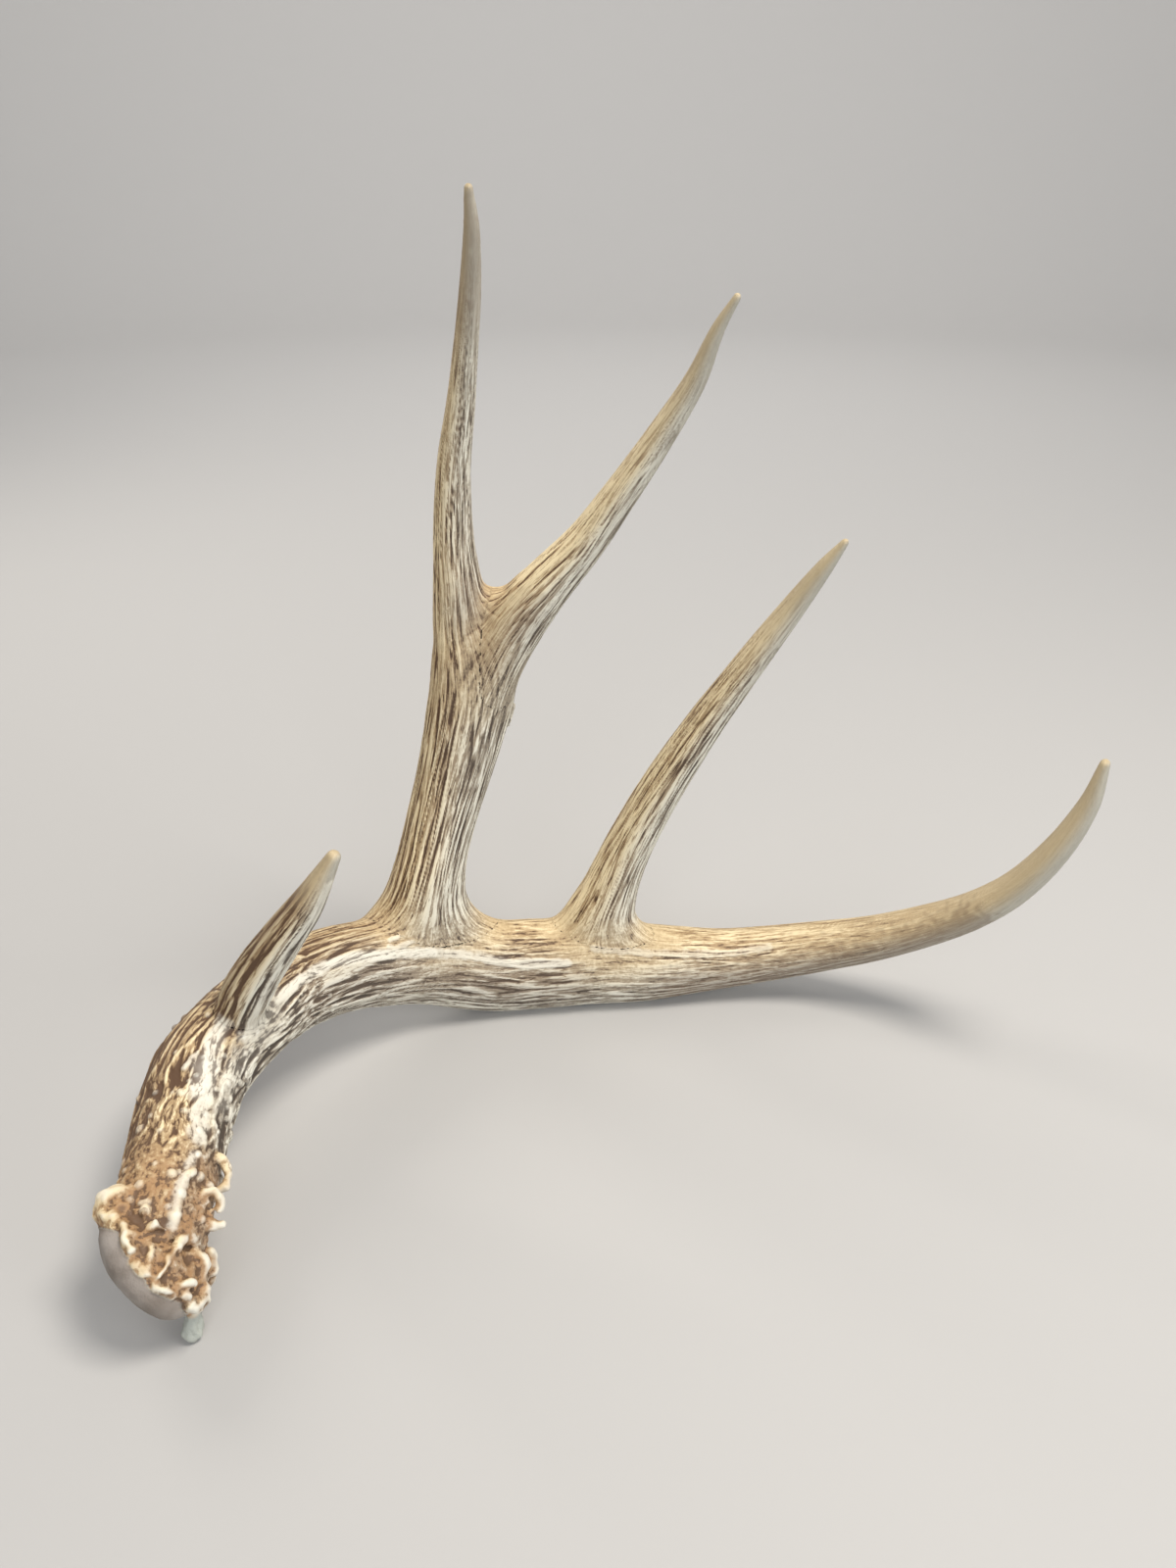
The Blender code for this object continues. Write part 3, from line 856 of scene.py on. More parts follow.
@dataclass
class Skin:
    """The antler's whole surface: its points, quads and what varies over it.

    Args:
        limbs: the branches that it is fused from.
        burr: the burr at its foot.
        cell: size of the surface's faces.
        pearls: how many pearls are scattered over the lower beam.
    """

    limbs: tuple[Limb, ...]
    burr: Burr
    cell: float = 0.58
    pearls: int = 200
    points: Numbers = field(init=False)
    quads: Rows = field(init=False)
    graph: Graph = field(init=False)
    normals: Numbers = field(init=False)
    shares: Numbers = field(init=False)
    readings: list[Reading] = field(init=False)
    values: dict[str, Numbers] = field(init=False, default_factory=dict)

    def fuse(self) -> None:
        """Join the branches and the burr into one skin of even quads."""
        shells = [limb.shell() for limb in self.limbs] + self.burr.shells()
        shells += [web.shell() for web in FORK_WEBS]
        points: list[Numbers] = []
        faces: list[Face] = []
        for shell in shells:
            first = sum(len(part) for part in points)
            points.append(shell.points * MM)
            faces += [tuple(first + index for index in face) for face in shell.faces]
        mesh = bpy.data.meshes.new("rough")
        mesh.from_pydata(np.concatenate(points).tolist(), [], faces)
        rough = added("rough", mesh)
        remesh = rough.modifiers.new("fuse", "REMESH")
        remesh.mode = "VOXEL"
        remesh.voxel_size = self.cell * MM
        graph = bpy.context.evaluated_depsgraph_get()
        fused = bpy.data.meshes.new_from_object(rough.evaluated_get(graph))
        bpy.data.objects.remove(rough)
        self.points = read_table(fused.vertices, "co", 3) / MM
        self.quads = read_table(fused.polygons, "vertices", 4, np.int32)
        self.graph = Graph(read_table(fused.edges, "vertices", 2, np.int32), len(self.points))
        bpy.data.meshes.remove(fused)
        LOG.info("fused skin: %d points, %d quads", len(self.points), len(self.quads))

    def find_normals(self) -> None:
        """Work out the direction that the skin faces at each point."""
        corners = self.points[self.quads]
        facing = np.cross(corners[:, 2] - corners[:, 0], corners[:, 3] - corners[:, 1])
        total = np.zeros_like(self.points)
        for corner, axis in product(range(4), range(3)):
            total[:, axis] += np.bincount(self.quads[:, corner], facing[:, axis], len(self.points))
        self.normals = unit(total)

    def read_limbs(self) -> None:
        """Find each point's place on every limb, and how far it belongs to each."""
        self.readings = [limb.read(self.points) for limb in self.limbs]
        outside = np.full((len(self.points), len(self.limbs)), 60.0)
        for column, reading in enumerate(self.readings):
            outside[reading.rows, column] = reading.outside
        above = outside - outside.min(axis=1, keepdims=True)
        shares = np.exp(-((above / 5.0) ** 2))
        shares /= shares.sum(axis=1, keepdims=True)
        self.shares = self.graph.smoothed(shares, 12)
        second = np.sort(above, axis=1)[:, 1]
        self.values["web"] = self.graph.smoothed(1.0 - eased(1.0, 15.0, second), 6)

    def melt(self, share: Numbers, passes: int) -> None:
        """Smooth the skin far, only where the share is above nothing.

        Args:
            share: how far each point gives way.
            passes: how many times the points are moved.
        """
        keep = np.flatnonzero(share > 0.004)
        self.points[keep] = self.graph.around(keep).smoothed(self.points[keep], passes, share[keep])

    def ease(self) -> None:
        """Take out the steps of the first surface and round the forks."""
        self.points = self.graph.smoothed(self.points, 3)
        self.read_limbs()
        out = self.burr.out(self.points)
        self.melt(0.5 * self.values["web"] * (out < -25.0), 170)
        self.melt(0.5 * eased(-34.0, -24.0, out), 8)
        self.find_normals()

    def grow(self) -> None:
        """Raise the grain, the pearls and the marks, and colour by what stands out."""
        self.read_limbs()
        noise = GrainNoise(LUMP_SEED)
        wander = GrainNoise(WANDER_SEED)
        height, tone, bare, grit = np.zeros((4, len(self.points)))
        flow = np.zeros_like(self.points)
        grains = noise.at(self.points / 1.25) * 0.6 + wander.at(self.points / 2.4) * 0.5
        best = self.shares.argmax(axis=1)
        for column, (limb, reading) in enumerate(zip(self.limbs, self.readings)):
            share = self.shares[reading.rows, column]
            keep = share > 0.01
            rows = reading.rows[keep]
            share = share[keep]
            along = reading.along[keep]
            turn = reading.turn[keep]
            spacing = limb.stop_values("spacing", along)
            lengths = limb.stop_values("length", limb.distance)
            cells = np.concatenate([[0.0], np.cumsum(limb.step / lengths)[:-1]])
            run = np.interp(along, limb.distance, cells) + np.minimum(along, 0.0) / lengths[0]
            radius = (reading.reach[keep] ** 0.7) * (12.0**0.3) / spacing
            place = np.stack([radius * np.cos(turn), radius * np.sin(turn), run + 17.0 * column], axis=1)
            sway = np.stack([wander.at(place * (0.5, 0.5, 1.1) + 40.0 * k) for k in (1, 2)], axis=1)
            place[:, :2] += sway * 0.4
            flow[rows[best[rows] == column]] = place[best[rows] == column]
            pale_veins = veins(noise, place * (1.1, 1.1, 1.0), 3.4)
            dark_veins = veins(wander, place * (1.4, 1.4, 0.8) + 31.0, 4.0)
            fine_veins = veins(wander, place * (2.1, 2.1, 1.8) + 9.0, 2.6)
            broad = noise.at(place * (0.7, 0.7, 0.6) + 77.0)
            lined = limb.stop_values("ground", along) + 0.13 * broad - 0.08
            lined += limb.stop_values("pale_lines", along) * pale_veins
            lined -= limb.stop_values("dark_lines", along) * dark_veins * (1.0 - 0.6 * pale_veins)
            lined += 0.22 * (fine_veins - 0.35)
            granular = limb.stop_values("granular", along) + 0.25 * self.values["web"][rows]
            granular = np.clip(granular, 0.0, 0.8)
            grained = limb.stop_values("ground", along) + 0.22 * grains[rows]
            mixed = np.clip(lined * (1.0 - granular) + grained * granular, -0.1, 1.2)
            height[rows] += share * mixed * limb.stop_values("height", along)
            tone[rows] += share * mixed
            grit[rows] += share * granular
            bare[rows] += share * limb.stop_values("bare", along)
        bare = np.clip(bare, 0.0, 1.0)
        self.values |= {"flow": flow, "tone": tone, "bare": bare, "granular": grit}
        self.burr_detail(height, noise, wander)
        self.add_pearls(height)
        self.add_marks(height)
        self.points = self.points + self.normals * height[:, None]
        self.points[:, 2] = np.maximum(self.points[:, 2], 0.0)
        self.find_normals()
        self.find_crests()

    def burr_detail(self, height: Numbers, noise: GrainNoise, wander: GrainNoise) -> None:
        """Raise the lumps and pits of the burr's crown, and smooth the seal under it.

        Args:
            height: how far each point is raised, changed in place.
            noise: noise of the lumps.
            wander: noise of the finer lumps.
        """
        knob = self.burr.knob_share(self.points)
        near = 1.0 - eased(24.0, 46.0, far(self.points, self.burr.centre))
        out = self.burr.out(self.points) + 0.5 * noise.at(self.points / 5.0)
        seal = eased(-6.4, -5.0, out) * near * (1.0 - knob)
        seal = np.maximum(seal, 0.65 * (1.0 - eased(9.0, 12.0, self.points[:, 2])) * near * knob)
        crown = near * (1.0 - seal)
        lumps = noise.at(self.points / 7.0) * 1.5 + wander.at(self.points / 3.6) * 1.2
        lumps += noise.at(self.points / 2.2) * 0.8 + wander.at(self.points / 1.4) * 0.3
        height *= (1.0 - seal) * (1.0 - 0.6 * knob)
        height += crown * (1.0 - knob) * lumps * 0.42
        height += knob * (wander.at(self.points / 3.4) * 0.8 + noise.at(self.points / 2.0) * 0.3)
        height += seal * (noise.at(self.points / 3.2) * 0.12 + wander.at(self.points / 9.0) * 0.5)
        pit = np.zeros(len(self.points))
        ragged = 0.25 * noise.at(self.points / 1.5)
        for centre, radius, depth in PITS:
            share = (1.0 - eased(0.4, 1.3, far(self.points, centre) / radius + ragged)) * crown
            height -= share * depth
            pit = np.maximum(pit, share)
        self.values |= {"pit": pit, "seal": seal, "knob": knob, "crown": crown}

    def add_pearls(self, height: Numbers) -> None:
        """Scatter small pearls over the lower beam.

        Args:
            height: how far each point is raised, changed in place.
        """
        chance = np.random.default_rng(PEARL_SEED)
        pearl = np.zeros(len(self.points))
        for _ in range(self.pearls):
            along = 8.0 + 125.0 * chance.random() ** 1.3
            degrees = chance.uniform(-180.0, 180.0)
            radius = chance.uniform(0.9, 1.9) * (1.15 - along / 260.0)
            centre = BEAM.on_surface(along, degrees)
            near = np.flatnonzero(np.abs(self.points - centre).max(axis=1) < radius * 1.6)
            if len(near) == 0:
                continue
            dome = np.sqrt(np.clip(1.0 - (far(self.points[near], centre) / radius) ** 2, 0.0, 1.0))
            rise = dome * radius * chance.uniform(0.55, 0.9)
            height[near] = np.maximum(height[near], rise + 0.3 * height[near])
            pearl[near] = np.maximum(pearl[near], eased(0.1, 0.8, dome))
        self.values["pearl"] = pearl

    def add_marks(self, height: Numbers) -> None:
        """Raise and wear the listed ridges and patches.

        Args:
            height: how far each point is raised, changed in place.
        """
        pale = np.zeros(len(self.points))
        dark = np.zeros(len(self.points))
        ragged = GrainNoise(MARK_SEED).at(self.points / 3.0) * 0.5 + (0.5 - self.values["tone"])
        limbs = {limb.name: limb for limb in self.limbs}
        for mark in MARKS:
            limb = limbs[mark.limb]
            alongs, turns = np.array(mark.route, float).T
            knots = np.arange(len(turns))
            steps = np.linspace(0.0, len(turns) - 1.0, 12 * len(turns))
            places = zip(np.interp(steps, knots, alongs), np.interp(steps, knots, turns))
            route = np.array([limb.on_surface(along, degrees) for along, degrees in places])
            reach = mark.half_width * 2.2
            near = within(self.points, route.min(axis=0) - reach, route.max(axis=0) + reach)
            away = np.linalg.norm(self.points[near][:, None] - route[None], axis=2).min(axis=1)
            edge = ragged[near] * (1.3 - mark.pale)
            share = 1.0 - eased(0.45, 1.3, away / mark.half_width + edge)
            height[near] += share * (mark.rise - 0.7 * mark.pale * height[near])
            pale[near] = np.maximum(pale[near], share * mark.pale)
            dark[near] = np.maximum(dark[near], share * mark.dark)
        self.values |= {"pale": pale, "dark": dark}

    def spread(self, name: str, rows: Rows, values: Numbers) -> None:
        """Keep a value that is nothing except at some points."""
        self.values[name] = np.zeros(len(self.points))
        self.values[name][rows] = values

    def find_crests(self) -> None:
        """Find what stands out of the skin around it, what lies low and what faces up; the low creases of
        the crown are darkened as painted shade, and the up-facing sides get partly painted light.
        """
        level = self.graph.smoothed(self.points, 10)
        fine = dots(self.points - level, self.normals)
        broad = dots(self.points - self.graph.smoothed(level, 40), self.normals)
        self.values["crest"] = np.clip(0.5 + fine / 0.5 + broad / 2.4, 0.0, 1.0)
        # Sides facing up and to the left get the warmer, lighter copy of each colour: partly the bone's own
        # tint, partly painted light, with the down-facing copy partly painted shade.
        facing = self.normals @ unit(np.array([-0.6, 0.1, 0.8])) - 0.22 * self.shares[:, 0]
        self.values["up_facing_tint_and_light"] = eased(-0.65, 0.45, self.graph.smoothed(facing, 12))
        crown = self.values["crown"]
        near = np.flatnonzero(crown > 0.01)
        around = self.graph.around(near).smoothed(self.points[near], 160)
        stand = dots(self.points[near] - around, self.normals[near])
        self.spread("stand", near, eased(0.2, 1.8, stand) * crown[near])
        # Painted shade: the crown's low creases, at the feet of the knobs, are marked to be darkened.
        self.spread("crease_shade", near, eased(0.1, 1.0, -stand) * crown[near])
        beam, brow = self.readings[:2]
        self.spread("umber", beam.rows, 1.0 - eased(100.0, 180.0, beam.along))
        umber = self.values["umber"]
        umber[brow.rows] = np.maximum(umber[brow.rows], 0.7 * self.shares[brow.rows, 1])
        umber *= eased(-0.1, 0.8, -self.graph.smoothed(self.normals[:, 0], 12)) * (1.0 - crown)

    def piece_of_quads(self) -> Rows:
        """Find the piece that each quad belongs to.

        Returns:
            The piece's number, counted along each limb in turn.
        """
        best = self.graph.smoothed(self.shares, 8).argmax(axis=1)
        label = np.zeros(len(self.points), np.int64)
        first = 0
        for column, (limb, reading) in enumerate(zip(self.limbs, self.readings)):
            cuts = CUTS.get(limb.name, ())
            along = np.zeros(len(self.points))
            along[reading.rows] = reading.along
            piece = first + np.searchsorted(cuts, along, side="right")
            label = np.where(best == column, piece, label)
            first += len(cuts) + 1
        return np.median(label[self.quads], axis=1).astype(np.int64)


def veins(noise: GrainNoise, place: Numbers, sharpness: float) -> Numbers:
    """Thin winding lines, one along their middle and nothing between them."""
    return 1.0 - np.minimum(1.0, np.abs(noise.at(place)) * sharpness)


def read_table(
    items: bpy.types.bpy_prop_collection, name: str, width: int, kind: type = np.float32
) -> Numbers | Rows:
    """Read one property of a mesh's items.

    Args:
        items: the mesh's points, edges or faces.
        name: the property.
        width: how many numbers each item has.
        kind: the type that they are kept in.
    Returns:
        One row for each item.
    """
    table = np.empty(len(items) * width, kind)
    items.foreach_get(name, table)
    return table.reshape(-1, width).astype(np.float64 if kind is np.float32 else np.int64)


class Shade:
    """A value in a material, on which arithmetic adds Math nodes."""

    def __init__(self, paint: "Paint", socket: bpy.types.NodeSocket) -> None:
        """Wrap an output socket."""
        self.paint = paint
        self.socket = socket

    def math(self, operation: str, *values: "float | Shade", clamp: bool = False) -> "Shade":
        """Math node on these values."""
        settings = {"operation": operation, "use_clamp": clamp}
        return self.paint.shade("ShaderNodeMath", settings, dict(enumerate(values)))

    def __add__(self, other: "float | Shade") -> "Shade":
        """Sum."""
        return self.math("ADD", self, other)

    __radd__ = __add__

    def __sub__(self, other: "float | Shade") -> "Shade":
        """Difference."""
        return self.math("SUBTRACT", self, other)

    def __rsub__(self, other: "float | Shade") -> "Shade":
        """Difference, the other way round."""
        return self.math("SUBTRACT", other, self)

    def __mul__(self, other: "float | Shade") -> "Shade":
        """Product."""
        return self.math("MULTIPLY", self, other)

    __rmul__ = __mul__

    def size(self) -> "Shade":
        """The value without its sign."""
        return self.math("ABSOLUTE", self)

    def clamped(self) -> "Shade":
        """The value, kept between 0 and 1."""
        return self.math("ADD", self, 0.0, clamp=True)

    def eased(self, low: float, high: float) -> "Shade":
        """Smooth rise from 0 at low to 1 at high."""
        sockets = {"Value": self, "From Min": low, "From Max": high}
        return self.paint.shade("ShaderNodeMapRange", {"interpolation_type": "SMOOTHSTEP"}, sockets)


class Paint:
    """Adds nodes to one material."""

    def __init__(self, name: str) -> None:
        """Start an empty material."""
        self.material = bpy.data.materials.new(name)
        self.material.use_nodes = True
        self.tree = self.material.node_tree
        self.tree.nodes.clear()

    def node(
        self, kind: str, settings: dict[str, object], sockets: dict[str | int, object]
    ) -> bpy.types.Node:
        """Add a node.

        Args:
            kind: the node's type.
            settings: properties of the node, set first.
            sockets: a number, colour or link for each named or numbered socket.
        Returns:
            The node.
        """
        node = self.tree.nodes.new(kind)
        for name, value in settings.items():
            setattr(node, name, value)
        for name, value in sockets.items():
            if isinstance(value, Shade):
                self.tree.links.new(value.socket, node.inputs[name])
            else:
                node.inputs[name].default_value = value
        return node

    def shade(
        self, kind: str, settings: dict[str, object], sockets: dict[str | int, object], output: str | int = 0
    ) -> Shade:
        """Add a node and return one of its outputs."""
        return Shade(self, self.node(kind, settings, sockets).outputs[output])

    def stored(self, name: str, output: str = "Fac") -> Shade:
        """Value stored on the mesh."""
        return self.shade("ShaderNodeAttribute", {"attribute_name": name}, {}, output)

    def mixed(self, share: Shade | float, first: Colour | Shade, second: Colour | Shade) -> Shade:
        """Colour between two colours."""
        ends = [end if isinstance(end, Shade) else (*end, 1.0) for end in (first, second)]
        return self.shade("ShaderNodeMix", {"data_type": "RGBA"}, {0: share, 6: ends[0], 7: ends[1]}, 2)

    def between(self, share: Shade, first: Shade, second: Shade) -> Shade:
        """Number between two numbers."""
        return self.shade("ShaderNodeMix", {}, {0: share, 2: first, 3: second})

    def noise(self, place: Shade, scale: float, detail: float, roughness: float = 0.6) -> Shade:
        """Noise from 0 to 1 about one half."""
        sockets = {"Vector": place, "Scale": scale, "Detail": detail, "Roughness": roughness}
        return self.shade("ShaderNodeTexNoise", {}, sockets)


@dataclass(frozen=True)
class BoneFinish:
    """Antler bone: dark hollows, tan bark, cream ridges, ivory tips and the pale seal.

    Args:
        name: the material's name.
        hollow: colours low between ridges, on sides that face down and on sides that face up, the up-facing
            one partly painted light and the down-facing one partly painted shade.
        bark: the same for the middle level.
        ridge: the same for the ridges.
        ivory: the same for the smooth tips.
        web_tan: colour of the granular bone in the forks.
        polished: colour of worn knobs and patches.
        seal: colour of the seal.
        seal_shade: colour of the seal's cloudy patches.
        foot: colour of the knobs that touch the ground.
        stain: golden colour in the burr.
        umber: colour of brown stains, and of the painted shade along the beam end's lower side.
        smooth_roughness: roughness of worn bone.
        rough_roughness: roughness of the bark.
        grain_bump: height of the finest grain, in metres.
    """

    name: str = "antler bone"
    hollow: tuple[Colour, Colour] = ((0.070, 0.052, 0.038), (0.090, 0.042, 0.016))
    bark: tuple[Colour, Colour] = ((0.30, 0.255, 0.195), (0.42, 0.285, 0.145))
    ridge: tuple[Colour, Colour] = ((0.78, 0.755, 0.65), (0.86, 0.71, 0.44))
    ivory: tuple[Colour, Colour] = ((0.44, 0.415, 0.345), (0.54, 0.43, 0.26))
    web_tan: Colour = (0.60, 0.46, 0.26)
    polished: Colour = (0.76, 0.73, 0.63)
    seal: Colour = (0.34, 0.30, 0.265)
    seal_shade: Colour = (0.20, 0.165, 0.135)
    foot: Colour = (0.42, 0.44, 0.39)
    stain: Colour = (0.37, 0.205, 0.09)
    umber: Colour = (0.15, 0.085, 0.045)
    smooth_roughness: float = 0.36
    rough_roughness: float = 0.66
    grain_bump: float = 0.0003

    def material(self) -> bpy.types.Material:
        """Build the material.

        Returns:
            A material that reads the values stored on the skin.
        """
        paint = Paint(self.name)
        flow = paint.stored("flow", "Vector")
        place = paint.shade("ShaderNodeTexCoord", {}, {}, "Object")
        read = ("bare", "up_facing_tint_and_light", "granular", "knob", "stand", "crown", "umber", "seal")
        bare, up_facing_tint_and_light, granular, knob, stand, crown, umber, sealed = map(paint.stored, read)
        grit = paint.noise(place, 850.0, 3.0)
        cloud = paint.noise(place, 70.0, 2.0)
        blotch = paint.noise(place, 150.0, 2.0)
        speck = paint.noise(place, 430.0, 3.0)

        lined = (paint.noise(flow, 3.6, 3.0) - 0.5) * 1.1 + (paint.noise(flow, 9.0, 2.0) - 0.5) * 0.9
        fine = paint.between((granular + crown).clamped(), lined, (grit - 0.5) * 1.3) * (1.0 - bare * 0.5)
        level = paint.stored("tone") * 0.72 + paint.stored("crest") * 0.4 - 0.17 + fine + (cloud - 0.5) * 0.2
        ragged = (1.0 - granular * 0.8) * (1.0 - crown * 0.85)
        dark_threads = (1.0 - (paint.noise(flow, 2.3, 1.0) - 0.5).size() * 20.0).clamped()
        pale_threads = (1.0 - (paint.noise(flow, 3.1, 1.0) - 0.5).size() * 22.0).clamped()
        level = level - dark_threads * ragged * (1.0 - bare * 0.7) * cloud.eased(0.25, 0.6) * 0.42
        # Painted shade: the crown's creases are darkened here.
        level = level + pale_threads * ragged * 0.16 - paint.stored("crease_shade") * 0.3 - umber * 0.24
        level = level + crown * ((speck - 0.5) * 0.9 - 0.04)
        level = (level * (1.0 - stand * 0.6) + stand * 0.75).clamped()

        # Each colour is mixed between a down-facing and an up-facing copy: partly real tint, partly painted
        # light and shade.
        hollow, bark, ridge, ivory = (
            paint.mixed(up_facing_tint_and_light, *pair) for pair in (self.hollow, self.bark, self.ridge, self.ivory)
        )
        colour = paint.mixed(level.eased(0.04, 0.34), hollow, bark)
        colour = paint.mixed(level.eased(0.34, 0.74), colour, ridge)
        colour = paint.mixed(umber * 0.5, colour, self.umber)
        # The forks' tan is stronger on up-facing sides, partly as painted light.
        web = paint.stored("web") * (1.0 - crown) * (up_facing_tint_and_light * 0.7 + 0.3) * level.eased(0.1, 0.5)
        colour = paint.mixed(web * 0.6, colour, self.web_tan)
        golden = crown * (1.0 - stand * 0.8) * level.eased(-0.1, 0.3)
        golden = golden * (blotch.eased(0.3, 0.62) * 0.6 + 0.3)
        colour = paint.mixed(golden, colour, self.stain)
        spots = crown * (1.0 - stand) * (1.0 - level.eased(0.06, 0.28)) * 0.6
        colour = paint.mixed(spots, colour, self.umber)
        colour = paint.mixed(paint.stored("pit") * 0.8, colour, self.umber)
        worn = (bare * 1.15 - (1.0 - level) * 0.3).clamped() * 0.85
        colour = paint.mixed(worn, colour, ivory)
        # Darkened marks: stains, and painted shade along the beam end's lower side.
        colour = paint.mixed(paint.stored("dark") * 0.55, colour, self.umber)
        polish = knob * stand.eased(0.5, 1.0) * (blotch * 0.5 + 0.5) * 0.9
        polish = (polish + paint.stored("pale") * (level.eased(0.0, 0.45) * 0.7 + 0.3)).clamped()
        polish = (polish + paint.stored("pearl") * 0.3).clamped()
        colour = paint.mixed(polish * 0.9, colour, self.polished)
        seal = paint.mixed(cloud.eased(0.3, 0.7), self.seal, self.seal_shade)
        colour = paint.mixed(sealed, colour, seal)
        colour = paint.mixed((sealed * knob).eased(0.1, 0.5), colour, self.foot)

        gloss = (bare * 0.6 + polish * 0.7).clamped()
        roughness = self.rough_roughness - gloss * (self.rough_roughness - self.smooth_roughness)
        height = level * 0.8 + grit * (1.0 - bare) * 0.3
        sockets = {"Strength": 0.8, "Distance": self.grain_bump, "Height": height}
        bump = paint.shade("ShaderNodeBump", {}, sockets)
        sockets = {"Base Color": colour, "Roughness": roughness, "Normal": bump, "IOR": 1.5}
        surface = paint.shade("ShaderNodeBsdfPrincipled", {}, sockets)
        paint.node("ShaderNodeOutputMaterial", {}, {"Surface": surface})
        return paint.material


@dataclass
class Antler:
    """The whole antler, divided into its pieces.

    Args:
        finish: the bone's finish.
    """

    finish: BoneFinish = field(default_factory=BoneFinish)

    def build(self) -> None:
        """Make the skin, divide it, dress each piece and tie it to the frame."""
        skin = Skin(LIMBS, Burr(beads=BEADS, knobs=BURR_KNOBS))
        skin.fuse()
        skin.ease()
        skin.grow()
        material = self.finish.material()
        owner = skin.piece_of_quads()
        for number, piece in enumerate(Piece):
            made = self.piece(skin, skin.quads[owner == number], piece.value)
            made.data.materials.append(material)
            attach(made, "root")
            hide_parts(STANDS_FOR[piece])
            LOG.info("%s: %d faces", piece.value, len(made.data.polygons))

    def piece(self, skin: Skin, quads: Rows, name: str) -> bpy.types.Object:
        """Closed object from some of the skin's quads.

        Args:
            skin: the whole skin.
            quads: the piece's quads.
            name: the piece's name.
        Returns:
            The object, with the skin's values and normals on it.
        """
        used = np.unique(quads)
        local = np.full(len(skin.points), -1)
        local[used] = np.arange(len(used))
        faces = local[quads]
        points = skin.points[used]
        caps: list[Face] = []
        middles = []
        for rim in open_rims(faces):
            middle = len(points) + len(middles)
            middles.append(points[rim].mean(axis=0))
            caps += [(start, end, middle) for start, end in zip(rim, rim[1:] + rim[:1])]
        points = np.concatenate([points, middles])
        mesh = bpy.data.meshes.new(name)
        mesh.from_pydata((points * MM).tolist(), [], faces.tolist() + caps)
        mesh.shade_smooth()
        for key, values in skin.values.items():
            self.store(mesh, key, values[used])
        normals = np.concatenate([skin.normals[used], np.tile((0.0, 0.0, 1.0), (len(middles), 1))])
        mesh.normals_split_custom_set_from_vertices(normals.tolist())
        return added(name, mesh)

    def store(self, mesh: bpy.types.Mesh, name: str, values: Numbers) -> None:
        """Store a value on a mesh's points, and zeros on the middles of its caps.

        Args:
            mesh: the mesh.
            name: the value's name.
            values: a number or a vector for each of the skin's points.
        """
        kind, prop = ("FLOAT", "value") if values.ndim == 1 else ("FLOAT_VECTOR", "vector")
        padded = np.zeros((len(mesh.vertices), *values.shape[1:]), np.float32)
        padded[:len(values)] = values
        mesh.attributes.new(name, kind, "POINT").data.foreach_set(prop, padded.ravel())


def open_rims(faces: Rows) -> list[list[int]]:
    """Find a surface's open edges.

    Args:
        faces: the surface's quads.
    Returns:
        Loops of points along its edges, each in the order that closes it outwards.
    """
    ends = np.concatenate([faces[:, [k, (k + 1) % 4]] for k in range(4)])
    ordered = np.sort(ends, axis=1)
    keys = ordered[:, 0] * (faces.max() + 1) + ordered[:, 1]
    _, index, counts = np.unique(keys, return_index=True, return_counts=True)
    following: dict[int, list[int]] = {}
    for start, end in ends[index[counts == 1]]:
        following.setdefault(int(end), []).append(int(start))
    rims = []
    while following:
        start = next(iter(following))
        here = start
        rim = [start]
        while following.get(here):
            there = following[here].pop()
            if not following[here]:
                del following[here]
            if there == start:
                break
            rim.append(there)
            here = there
        rims.append(rim)
    return rims


WARM_LIGHT = (1.0, 0.95, 0.88)
COOL_LIGHT = (0.92, 0.96, 1.0)
# Soft square lights: name, place, the point that it shines at, width, power and colour.
LIGHTS = (
    ("key", (0.40, -0.15, 1.15), (0.0, 0.05, 0.08), 0.40, 12.5, WARM_LIGHT),
    ("front fill", (0.1, -2.0, 1.2), (0.0, 0.0, 0.12), 1.5, 22.0, (0.93, 0.96, 1.0)),
    ("backdrop", (0.0, 1.2, 2.0), (0.0, 3.2, 0.9), 1.4, 40.0, (1.0, 0.98, 0.96)),
    ("side", (2.0, -1.1, 0.9), (0.05, 0.05, 0.15), 1.0, 12.0, COOL_LIGHT),
    ("rim", (-0.8, 0.6, 0.8), (0.0, 0.08, 0.15), 0.5, 4.0, WARM_LIGHT),
)


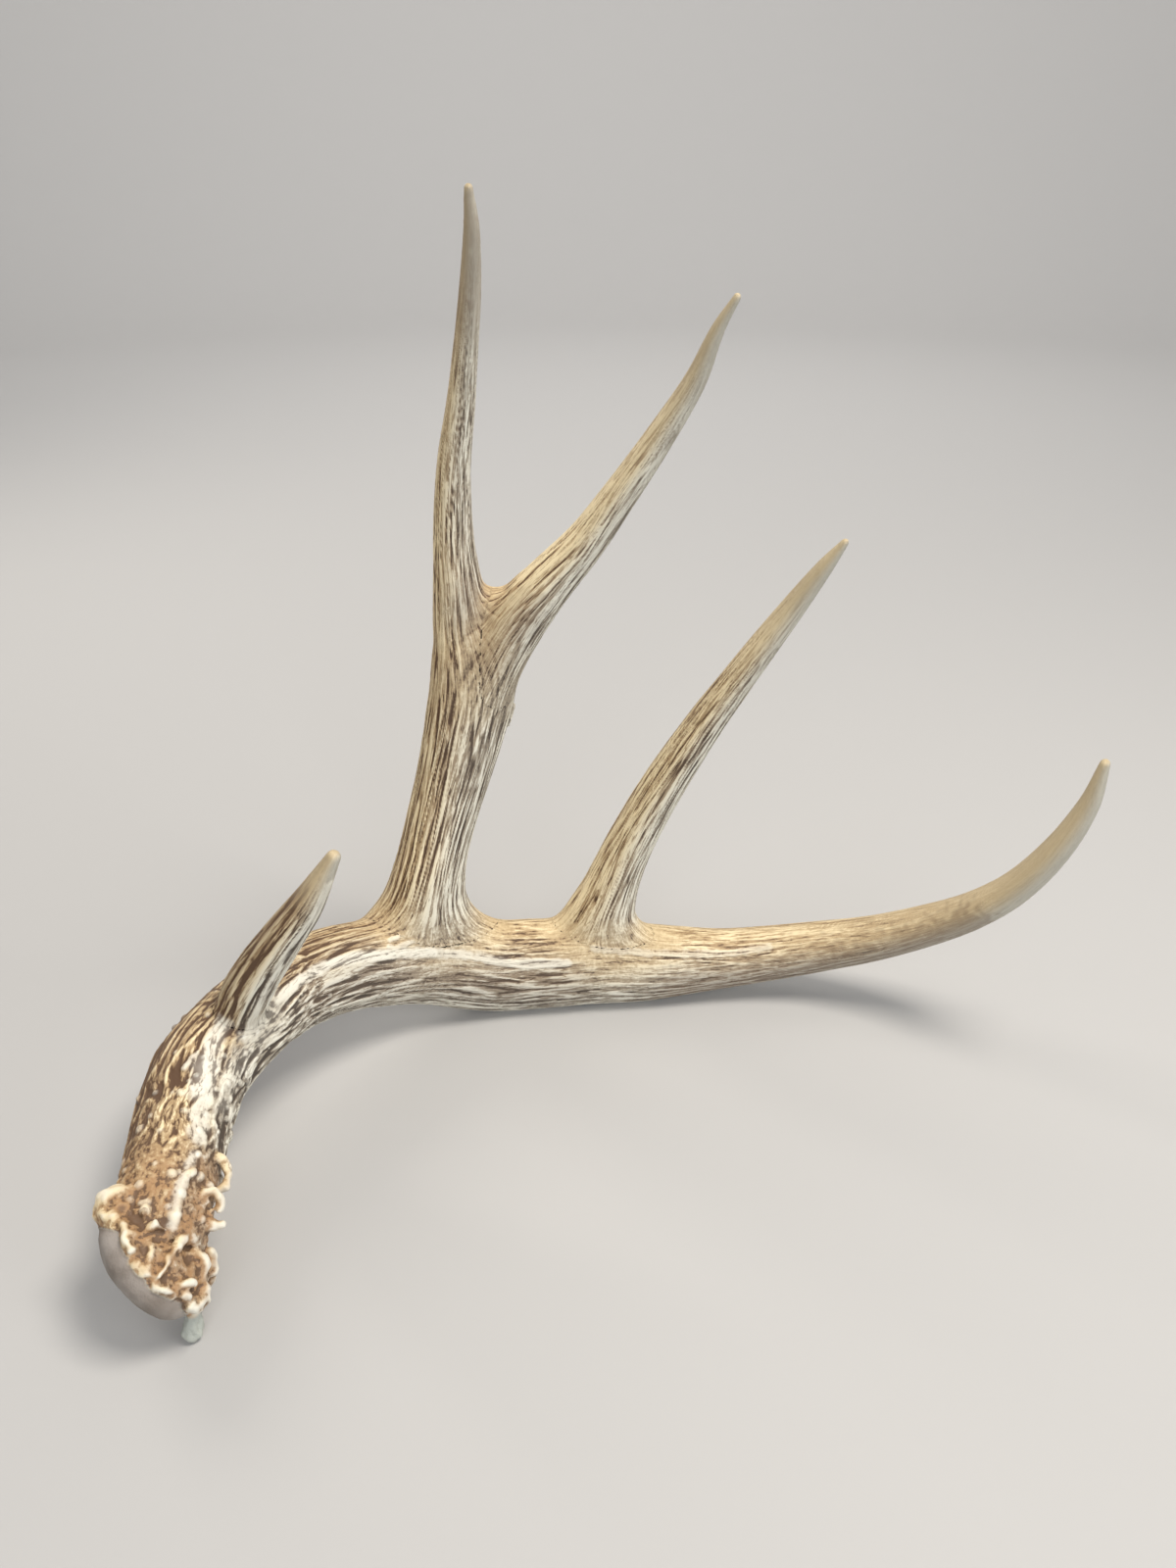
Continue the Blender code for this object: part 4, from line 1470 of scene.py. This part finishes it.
@dataclass
class Studio:
    """Plain pale floor, soft lights and the camera.

    Args:
        floor_colour: colour of the floor.
        camera_at: place of the camera, in metres.
        camera_pitch: degrees that the camera is tipped up from looking straight down.
        lens: focal length.
        flat: radius of the floor's flat part.
        sweep: radius of the bend that joins it to the wall.
        wall_top: height of the wall.
        sides: sides of the floor.
    """

    floor_colour: Colour = (0.48, 0.47, 0.455)
    camera_at: Point = (-0.015, -0.344, 0.352)
    camera_pitch: float = 61.0
    lens: float = 27.11
    flat: float = 2.2
    sweep: float = 1.2
    wall_top: float = 3.0
    sides: int = 96

    def build(self) -> None:
        """Set up the floor, the lights and the camera."""
        self.floor()
        for name, *settings in LIGHTS:
            self.light(name, *settings)
        world = bpy.data.worlds.new("studio")
        world.use_nodes = True
        sky = world.node_tree.nodes["Background"].inputs
        sky["Color"].default_value = (0.93, 0.95, 1.0, 1.0)
        sky["Strength"].default_value = 0.42
        bpy.context.scene.world = world
        camera = added("camera", bpy.data.cameras.new("camera"))
        camera.data.lens = self.lens
        camera.data.clip_start = 0.01
        camera.location = self.camera_at
        camera.rotation_euler = (math.radians(self.camera_pitch), 0.0, 0.0)
        bpy.context.scene.camera = camera
        bpy.context.scene.view_settings.view_transform = "Standard"

    def floor(self) -> None:
        """Round floor that sweeps up far away on every side."""
        profile = [(0.4, 0.0), (self.flat, 0.0)]
        for lift in np.radians(np.arange(7.5, 90.1, 7.5)):
            height = self.sweep - self.sweep * math.cos(lift)
            profile.append((self.flat + self.sweep * math.sin(lift), height))
        profile.append((self.flat + self.sweep, self.wall_top))
        around = circle(self.sides, np.array([1.0, 0.0, 0.0]), np.array([0.0, 1.0, 0.0]))
        points = np.concatenate([around * away + (0.0, 0.0, height) for away, height in profile])
        faces = [tuple(range(self.sides))]
        faces += [face[::-1] for face in bands(len(profile), self.sides)]
        mesh = bpy.data.meshes.new("studio_floor")
        mesh.from_pydata(points.tolist(), [], faces)
        mesh.shade_smooth()
        material = bpy.data.materials.new("pale floor")
        material.use_nodes = True
        shader = material.node_tree.nodes["Principled BSDF"]
        shader.inputs["Base Color"].default_value = (*self.floor_colour, 1.0)
        shader.inputs["Roughness"].default_value = 0.8
        mesh.materials.append(material)
        added("studio_floor", mesh)

    def light(
        self, name: str, at: Point, towards: Point, size: float, power: float, colour: Colour
    ) -> None:
        """Soft square light.

        Args:
            name: the light's name.
            at: its place, in metres.
            towards: the point that it shines at.
            size: its width, in metres.
            power: its power, in watts.
            colour: its colour.
        """
        lamp = bpy.data.lights.new(name, "AREA")
        lamp.size = size
        lamp.energy = power
        lamp.color = colour
        made = added(name, lamp)
        made.location = at
        made.rotation_euler = (Vector(towards) - Vector(at)).to_track_quat("-Z", "Y").to_euler()


def main() -> None:
    """Build the antler and its studio."""
    logging.basicConfig(level=logging.INFO, format="%(name)s: %(message)s")
    Studio().build()
    Antler().build()


if __name__ == "__main__":
    main()
